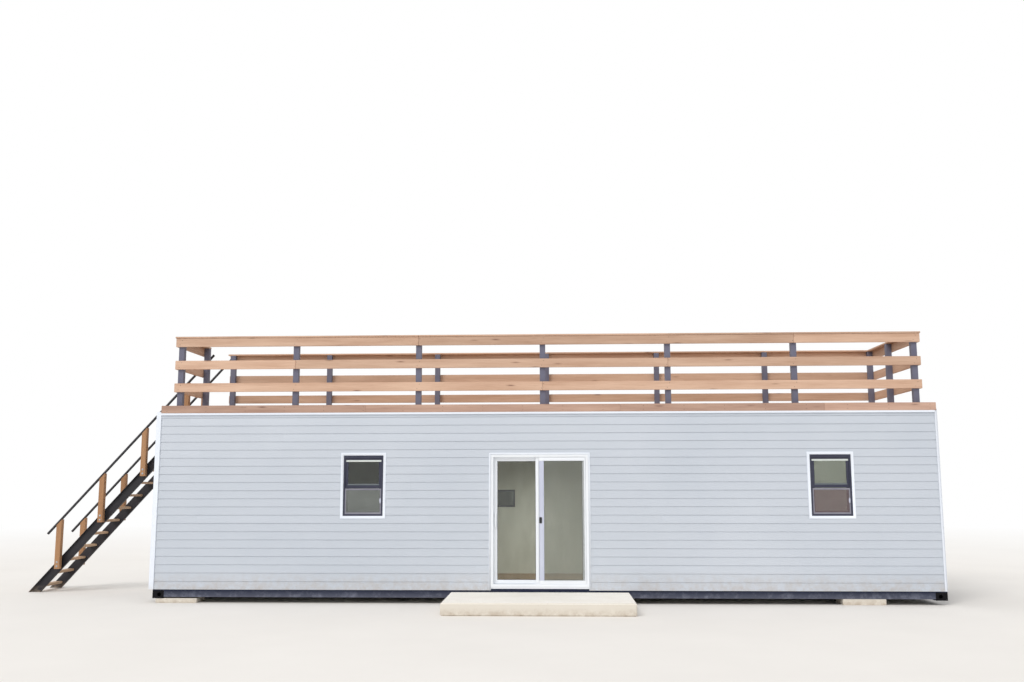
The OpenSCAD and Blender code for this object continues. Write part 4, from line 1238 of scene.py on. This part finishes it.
def planks():
    plank = (Vector((0, 0, -PLANK.z)), PLANK - Vector((PLANK_GAP, PLANK_GAP, 0)))
    field = (room_low + Vector((0, 0, 0.1 * MM)), room_high + Vector((0, 0, 1 * MM)))
    size = room_high - room_low
    return laid_boards(
        field, eased_blocks([plank], 1 * MM, 1), PLANK_WOOD, (PLANK.x, PLANK.y),
        Columns=math.ceil(size.x / PLANK.x) + 3, Rows=math.ceil(size.y / PLANK.y),
        Start=room_low - Vector((PLANK.x * 1.5, 0, 0)), Stagger=0.33, Scatter=0.3, Seed=4)


add_piece("room_planks", planks(), PLANK_WOOD, "floor_board", grain=5)
print("room", [round(v, 3) for v in room_high - room_low])

# %% [markdown]
# ## The steel and the concrete
# The container stands on its corner castings and side rails. Their shapes come from the frame, and
# only the edges are softened, so that the paint can look rubbed there.

# %% Container steel and pads
eased_node("corner_castings", 3 * MM, CASTING_STEEL, "frame_steel", steps=1)
for node, width in (("bottom_rails", 1.5), ("corner_posts", 2), ("top_rails", 2),
                    ("cargo_doors", 1)):
    eased_node(node, width * MM, NAVY_STEEL, "frame_steel", steps=1)
paint(NAVY_STEEL, "cross_members")
paint(ZINC, "lock_rods")
eased_node("ground_pads", 6 * MM, CONCRETE, "concrete")


STEP_EASE, CHIP_DEPTH = 14 * MM, 1.6 * MM


def doorstep():
    """A cast slab: cut into small faces, then worn and chipped a little by noise."""
    low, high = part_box("doorstep")
    bm = eased_blocks([(low, high)], STEP_EASE, 3)
    long_edges = [edge for edge in bm.edges if edge.calc_length() > 0.3]
    bmesh.ops.subdivide_edges(bm, edges=long_edges, cuts=40, use_grid_fill=True)
    middle = (low + high) / 2
    for vert in bm.verts:
        if vert.co.z <= low.z + 1 * MM or vert.co.y >= high.y - 1 * MM:
            continue
        worn = abs(field_noise.fractal(vert.co * 9.0, 0.7, 2.2, 4)) * CHIP_DEPTH
        for a in range(3):
            if min(abs(vert.co[a] - low[a]), abs(vert.co[a] - high[a])) < STEP_EASE + 1 * MM:
                vert.co[a] -= math.copysign(worn, vert.co[a] - middle[a])
    return bm


add_piece("doorstep_slab", doorstep(), CONCRETE, "concrete", "doorstep")
print("steel and concrete done")

# %% [markdown]
# ## The deck
# Boards lie along the roof on joists, with open joints. The same tree lays them as the siding, and
# every board has its own grain, as they are separate pieces on the real deck.

# %% Joists and boards
DECK_LENGTH, DECK_WIDTH = 3.66, 0.14
DECK_GAP = 5 * MM
END_GAP = 3 * MM
eased_node("deck_joists", 2 * MM, JOIST_WOOD, "deck_wood", boards=True, steps=1)
deck_low, deck_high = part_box("deck_boards")
DECK_ROWS = round((deck_high.y - deck_low.y) / (DECK_WIDTH + DECK_GAP))
DECK_PITCH = (deck_high.y - deck_low.y) / DECK_ROWS


def deck_boards():
    thick = deck_high.z - deck_low.z
    board = ((END_GAP / 2, 0, 0), (DECK_LENGTH - END_GAP / 2, DECK_PITCH - DECK_GAP, thick))
    margin = Vector((0, 0.1, 0.1))
    return laid_boards(
        (deck_low - margin, deck_high + margin), eased_blocks([board], 3 * MM), DECKING,
        (DECK_LENGTH, DECK_PITCH), Columns=6, Rows=DECK_ROWS,
        Start=deck_low + Vector((-DECK_LENGTH * 1.2, DECK_GAP / 2, 0)), Stagger=0.5, Seed=2)


add_piece("deck_boards_laid", deck_boards(), DECKING, "deck_wood", "deck_boards", grain=7)
print(DECK_ROWS, "rows of decking,", round(DECK_PITCH / MM), "mm apart")

# %% [markdown]
# An edge board hides the ends of the joists all round the roof. It is longer than any board that a
# yard sells, so it is cut into lengths, with a hair of a gap between them.

# %% Edge boards
SCREW_RISE = 1.5 * MM
EDGE_JOINTS = (0.27, 0.6, 0.86)
ledger, (edge_low, edge_high) = solids("deck_fascia")


def cut_along(low, high, joints, gap=1.5 * MM):
    """Cuts a board that runs along X into lengths at the joints, with a hair of a gap between."""
    stops = [low.x] + [x for x in joints if low.x + 0.2 < x < high.x - 0.2] + [high.x]
    boards = []
    for start, end in zip(stops, stops[1:]):
        x0 = start if start == low.x else start + gap / 2
        x1 = end if end == high.x else end - gap / 2
        boards.append((Vector((x0, low.y, low.z)), Vector((x1, high.y, high.z))))
    return boards


def edge_boards():
    """Long boards front and back, short ones at the ends, and the ledger at the stair."""
    thick = edge_high.x - deck_high.x
    end_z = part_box("corner_castings")[1].z
    joints = [edge_low.x + (edge_high.x - edge_low.x) * share for share in EDGE_JOINTS]
    boxes = [ledger]
    for y0, y1 in ((edge_low.y + SCREW_RISE, edge_low.y + thick),
                   (edge_high.y - thick, edge_high.y - SCREW_RISE)):
        boxes += cut_along(Vector((edge_low.x, y0, edge_low.z)),
                           Vector((edge_high.x, y1, edge_high.z)), joints)
    for x0 in (edge_low.x, edge_high.x - thick):
        boxes.append(((x0, edge_low.y + thick, end_z),
                      (x0 + thick, edge_high.y - thick, edge_high.z)))
    return eased_blocks(boxes, 3 * MM)


add_piece("deck_edge_boards", edge_boards(), EDGE_BOARD, "fascia_wood", "deck_fascia", grain=9)
print("edge boards", round((edge_high.z - edge_low.z) / MM), "mm high")

# %% [markdown]
# ## The railing
# Charcoal posts carry three rows of cedar boards outside and a flat cap on top. Long boards meet at
# the posts, and the joints move one bay from row to row, as a carpenter would share them out.

# %% Posts, boards and caps
CAP_WIDTH = 140 * MM
eased_node("railing_posts", 3 * MM, POST_PAINT, "railing_post")
post_boxes = solids("railing_posts")
post_rows = [pick(low.y for low, high in post_boxes) for pick in (min, max)]
FRONT_XS, BACK_XS = ([(low.x + high.x) / 2 for low, high in post_boxes if abs(low.y - row) < WELD]
                     for row in post_rows)


def railing_side(node, post_xs, seed):
    boxes = []
    for k, (low, high) in enumerate(sorted(solids(node), key=lambda box: box[0].z)):
        joints = [x for n, x in enumerate(post_xs) if n % 3 == (k + seed) % 3]
        boxes += cut_along(low, high, joints, 3 * MM)
    boards = eased_blocks(boxes, 3.5 * MM)
    add_piece(node + "_boards", boards, CEDAR, "deck_wood", node, grain=20 + seed)


def railing_caps():
    """Flat cap boards: long ones over the sides, short ones between them over the ends."""
    low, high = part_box("railing_caps")
    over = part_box("railing_front")[0].x - low.x
    back_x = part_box("railing_back")[0].x - over
    stair_end = min(solids("railing_ends"), key=lambda box: box[0].x)[1].y + over
    boxes = []
    for x0, y0, joints in ((low.x, low.y, FRONT_XS[2::2]),
                           (back_x, high.y - CAP_WIDTH, BACK_XS[3::2])):
        boxes += cut_along(Vector((x0, y0, low.z)),
                           Vector((high.x, y0 + CAP_WIDTH, high.z)), joints, 2 * MM)
    y0 = low.y + CAP_WIDTH
    boxes.append(((high.x - CAP_WIDTH, y0, low.z), (high.x, high.y - CAP_WIDTH, high.z)))
    boxes.append(((low.x, y0, low.z), (low.x + CAP_WIDTH, stair_end, high.z)))
    return eased_blocks(boxes, 3.5 * MM)


railing_side("railing_front", FRONT_XS, 0)
railing_side("railing_back", BACK_XS, 1)
eased_node("railing_ends", 3.5 * MM, CEDAR, "deck_wood", boards=True)
add_piece("railing_cap_boards", railing_caps(), CEDAR, "deck_wood", "railing_caps", grain=31)
print(len(post_boxes), "posts,", len(FRONT_XS), "of them in front")

# %% [markdown]
# ## The stair
# Two black channel stringers carry open treads on angle cleats. Four timber posts a side are bolted
# to the stringers, and a steel tube lies on top of them as the handrail.

# %% Stringers, treads and posts
eased_node("stair_stringers", 1.5 * MM, STAIR_STEEL, "stringer_steel", steps=1)
eased_node("stair_cleats", 1 * MM, STAIR_STEEL, "stringer_steel", steps=1)
eased_node("stair_treads", 4 * MM, TREAD_WOOD, "deck_wood", boards=True)
eased_node("stair_posts", 3 * MM, POST_WOOD, "stair_post_wood", boards=True)
paint(RAIL_STEEL, "stair_handrails")
print(len(solids("stair_treads")), "treads")

# %% [markdown]
# ## Screws and bolts
# Fixings are many and small, so one tree puts a head on every point. The points carry the direction
# that each head faces, and a seed turns the heads, each by its own angle.

# %% The fixing tree


def fixing_tree():
    takes = {"Points": ("Geometry", None), "Piece": ("Object", None), "Seed": ("Int", 0),
             "Finish": ("Material", None)}
    tree, given, gives = new_tree("Fixings", "GeometryNodeTree", takes, {"Heads": "Geometry"})
    facing = first(put(tree, "GeometryNodeInputNamedAttribute", {"Name": "facing"},
                       data_type="FLOAT_VECTOR"))
    turn = first(put(tree, "FunctionNodeAlignRotationToVector", {"Vector": facing}, axis="Z"))
    draw = {"Min": 0.0, "Max": math.tau, "Seed": given["Seed"]}
    angle = first(put(tree, "FunctionNodeRandomValue", draw, data_type="FLOAT"))
    about = first(put(tree, "ShaderNodeCombineXYZ", {2: angle}))
    turned = first(put(tree, "FunctionNodeRotateRotation", {"Rotation": turn, "Rotate By": about},
                       rotation_space="LOCAL"))
    heads = copies(tree, given["Piece"], given["Points"], Rotation=turned)
    link_out(tree, gives, Heads=finished(tree, heads, given["Finish"]))
    return tree


FIXINGS = fixing_tree()
print(FIXINGS.name, "takes", len(FIXINGS.interface.items_tree) - 1, "inputs")


def domed_head(width, rise, sides, washer=0.0):
    """A screw or bolt head: a short drum with a smaller top, and a washer under it if asked."""
    bm = bmesh.new()
    layers = [(width / 2, 0.0), (width / 2, rise * 0.5), (width * 0.32, rise)]
    if washer:
        layers = [(washer / 2, 0.0), (washer / 2, 1.5 * MM), (width / 2, 1.5 * MM),
                  (width / 2, rise * 0.7), (width * 0.3, rise)]
    turns = [math.tau * k / sides for k in range(sides)]
    rings = [[bm.verts.new((radius * math.cos(a), radius * math.sin(a), z)) for a in turns]
             for radius, z in layers]
    for low, high in zip(rings, rings[1:]):
        for k in range(sides):
            n = (k + 1) % sides
            bm.faces.new((low[k], low[n], high[n], high[k]))
    bm.faces.new(rings[-1])
    bm.faces.new(rings[0][::-1])
    return bm


def fixings(name, places, head, material, seed):
    """Puts a head on every (place, facing) pair."""
    mesh = bpy.data.meshes.new(name + "_points")
    mesh.from_pydata([place for place, facing in places], [], [])
    layer = mesh.attributes.new("facing", "FLOAT_VECTOR", "POINT")
    layer.data.foreach_set("vector", [c for place, facing in places for c in facing])
    heads = through_tree(FIXINGS, mesh, head, material, Seed=seed)
    add_piece(name, heads, material, "galvanised_steel")
    print(name, len(places), "heads")


# %% [markdown]
# A screw goes where a board crosses what carries it, so the places come from the boxes of both. The
# edge boards were set back by the rise of a head, so their heads stay inside the frame's box.

# %% Screws in the railing and the deck
FRONT, BACK, LEFT, RIGHT, UP = (0, -1, 0), (0, 1, 0), (-1, 0, 0), (1, 0, 0), (0, 0, 1)
SPREAD = 18 * MM
BOARD_MARGIN, EDGE_MARGIN = 30 * MM, 90 * MM
EDGE_SCREWS = 20


def screw_pair(x, y, low, high, facing, spread=0.0):
    """Two screws over each other in a standing board, and a little to each side if asked."""
    return [((x + side * spread, y, low.z + (high.z - low.z) * (0.5 + 0.25 * side)), facing)
            for side in (-1, 1)]


def railing_screws():
    """Two screws where each board crosses a post."""
    places = []
    for node, facing, post_xs in (("railing_front", FRONT, FRONT_XS),
                                  ("railing_back", BACK, BACK_XS)):
        for low, high in solids(node):
            y = low.y if facing == FRONT else high.y
            for x in post_xs:
                places += screw_pair(x, y, low, high, facing, SPREAD)
    for low, high in solids("railing_ends"):
        x, facing = (low.x, LEFT) if low.x < 0 else (high.x, RIGHT)
        for post_low, post_high in post_boxes:
            post = (post_low + post_high) / 2
            if abs(post.x - (low.x + high.x) / 2) < 0.2 and low.y - 0.1 < post.y < high.y + 0.1:
                y = min(max(post.y, low.y + BOARD_MARGIN), high.y - BOARD_MARGIN)
                places += screw_pair(x, y, low, high, facing)
    return places


def deck_screws():
    places = []
    for low, high in solids("deck_joists"):
        x = (low.x + high.x) / 2
        for row in range(DECK_ROWS):
            y0 = deck_low.y + DECK_GAP / 2 + row * DECK_PITCH
            for share in (0.2, 0.8):
                places.append(((x, y0 + share * (DECK_PITCH - DECK_GAP), deck_high.z), UP))
    return places


def edge_screws():
    places = []
    step = (edge_high.x - edge_low.x - 2 * EDGE_MARGIN) / (EDGE_SCREWS - 1)
    for n in range(EDGE_SCREWS):
        x = edge_low.x + EDGE_MARGIN + n * step
        places += screw_pair(x, edge_low.y + SCREW_RISE, edge_low, edge_high, FRONT)
        places += screw_pair(x, edge_high.y - SCREW_RISE, edge_low, edge_high, BACK)
    return places


fixings("railing_screws", railing_screws(), domed_head(9 * MM, 2 * MM, 10), RAIL_STEEL, 1)
fixings("deck_screws", deck_screws(), domed_head(9 * MM, 1 * MM, 8), ZINC, 2)
fixings("edge_screws", edge_screws(), domed_head(9 * MM, SCREW_RISE, 10), RAIL_STEEL, 3)

# %% [markdown]
# The treads are screwed to their cleats from above. The stair's posts carry the handrail, so they
# are bolted, and a bolt has a washer under its head.

# %% Screws and bolts in the stair
TREAD_MARGIN = 20 * MM
BOLT_RISES = (45 * MM, 115 * MM)


def tread_screws():
    return [((low.x + (high.x - low.x) * share, y, high.z), UP)
            for low, high in solids("stair_treads") for share in (0.25, 0.75)
            for y in (low.y + TREAD_MARGIN, high.y - TREAD_MARGIN)]


def post_bolts():
    """Two bolts through the outer face of every stair post, down in the stringer's height."""
    places = []
    boxes = solids("stair_posts")
    near_side = min(low.y for low, high in boxes)
    for low, high in boxes:
        y, facing = (low.y, FRONT) if low.y < near_side + 1 * MM else (high.y, BACK)
        places += [(((low.x + high.x) / 2, y, low.z + rise), facing) for rise in BOLT_RISES]
    return places


fixings("tread_screws", tread_screws(), domed_head(10 * MM, 1.5 * MM, 10), ZINC, 4)
fixings("post_bolts", post_bolts(), domed_head(18 * MM, 8 * MM, 12, 34 * MM), ZINC, 5)

# %% [markdown]
# ## Floor, light and camera
# The stage is a pale floor that turns white far away, so that no horizon cuts the picture. It stays
# a real surface near the cabin, because the shadow on it shows that the cabin stands on the ground.

# %% Stage
FLOOR_REACH = 120.0
FADE_FROM, FADE_TO = 12.0, 34.0
WHITE = (1.0, 1.0, 1.0, 1.0)


def rays_that_see(tree):
    """One for rays of the camera, mirrors and glass, and nought for those that only bring light."""
    path = put(tree, "ShaderNodeLightPath")
    camera_ray, mirror_ray, glass_ray = (
        path.outputs["Is " + kind + " Ray"] for kind in ("Camera", "Glossy", "Transmission"))
    return maths(tree, "MAXIMUM", maths(tree, "MAXIMUM", camera_ray, mirror_ray), glass_ray)


def floor_material():
    """A pale floor that fades to plain white far away, so that no horizon shows."""
    material, tree, place = blank("Stage_floor")
    clouds = group(tree, CLOUDS, "Amount", Vector=place, Scale=0.4)
    tint = mixed(tree, clouds, (240, 236, 231), (236, 232, 227))
    matt = put(tree, "ShaderNodeBsdfPrincipled", {"Base Color": tint, "Roughness": 0.95})
    white = put(tree, "ShaderNodeEmission", {"Color": WHITE, "Strength": 1.0})
    far = remap(tree, distance(tree, place), FADE_FROM, FADE_TO)
    blend(tree, maths(tree, "MULTIPLY", far, rays_that_see(tree)), matt, white)
    return material


floor_mesh = bpy.data.meshes.new("stage_floor")
corners = [(x * FLOOR_REACH, y * FLOOR_REACH, 0.0) for x, y in ((-1, -1), (1, -1), (1, 1), (-1, 1))]
floor_mesh.from_pydata(corners, [], [(0, 1, 2, 3)])
floor_mesh.materials.append(floor_material())
stage_floor = linked("stage_floor", floor_mesh)
stage_floor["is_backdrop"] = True
print("stage floor", 2 * FLOOR_REACH, "m wide")

# %% [markdown]
# Soft light comes from everywhere, as under a pale sky, and a wide sun from the front left adds a
# gentle direction. What the camera sees behind the cabin is white, whatever the light's strength.

# %% Light
SKY = 0.8
SKY_TINT = (0.97, 0.985, 1.0, 1.0)
SUN = 1.25
SUN_TINT = (1.0, 0.975, 0.94)
SUN_FROM = (-0.45, -0.75, 0.8)


def surround():
    """A world that lights softly, and that the camera, mirrors and glass see as white."""
    world = bpy.data.worlds.new("Surround")
    scene.world = world
    world.use_nodes = True
    tree = world.node_tree
    tree.nodes.clear()
    light = put(tree, "ShaderNodeBackground", {"Color": SKY_TINT, "Strength": SKY})
    white = put(tree, "ShaderNodeBackground", {"Color": WHITE, "Strength": 1.0})
    blend(tree, rays_that_see(tree), light, white, "ShaderNodeOutputWorld")


def lamp(name, kind, power, tint, away_from, **settings):
    """Adds a lamp that shines away from a direction."""
    light = bpy.data.lights.new(name, kind)
    light.energy, light.color = power, tint
    for key, value in settings.items():
        setattr(light, key, value)
    made = linked(name, light)
    made.rotation_mode = "QUATERNION"
    made.rotation_quaternion = Vector(away_from).to_track_quat("Z", "Y")
    return made


surround()
lamp("Sun", "SUN", SUN, SUN_TINT, SUN_FROM, angle=math.radians(28))
print("sky", SKY, "and sun", SUN)

# %% [markdown]
# The room has no window that the sun reaches, so it would be dark. Two soft lamps under the
# ceiling stand for the daylight in it. They point at the back wall, low down, so that the ceiling
# stays dark.

# %% Light in the room
ROOM_TINT = (1.0, 0.99, 0.95)
LAMP_SIZE = (1.6, 0.3)


def room_lamp(name, x, z, power, spread):
    made = lamp(name, "AREA", power, ROOM_TINT, (0.0, -1.0, 1.0), shape="RECTANGLE",
                size=LAMP_SIZE[0], size_y=LAMP_SIZE[1], spread=math.radians(spread))
    made.location = (x, room_low.y + 0.15, z)


right_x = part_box("right_end_wall")[0].x - 1.2
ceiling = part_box("roof")[0].z
room_lamp("Room_lamp_door", (door_low.x + door_high.x) / 2, door_high.z, 6.5, 80)
room_lamp("Room_lamp_right", right_x, ceiling - 0.2, 14.0, 150)
print(len(bpy.data.lights), "lamps")

# %% [markdown]
# The camera stands where the photo was taken from, 16 m in front of the cabin and at eye height. It
# is tilted up by eight degrees, which is why the upright lines lean.

# %% Camera
SENSOR, LENS = 36.0, 35.41
EYE = Vector((1.548, -16.361, 1.815))
PITCH_UP, TURN_LEFT, LEAN = math.radians(8.108), math.radians(2.371), math.radians(0.08)
camera_data = bpy.data.cameras.new("Camera")
camera_data.sensor_width, camera_data.lens = SENSOR, LENS
camera = linked("Camera", camera_data)
camera.location = EYE
camera.rotation_euler = (math.pi / 2 + PITCH_UP, LEAN, TURN_LEFT)
scene.camera = camera
print("camera", [round(c, 3) for c in EYE])

# %% [markdown]
# ## Last measures
# The box round the dressed model is measured, without the stage floor. The dressed model has to
# stay inside the frame's box.

# %% Sizes and finish
low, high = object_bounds()
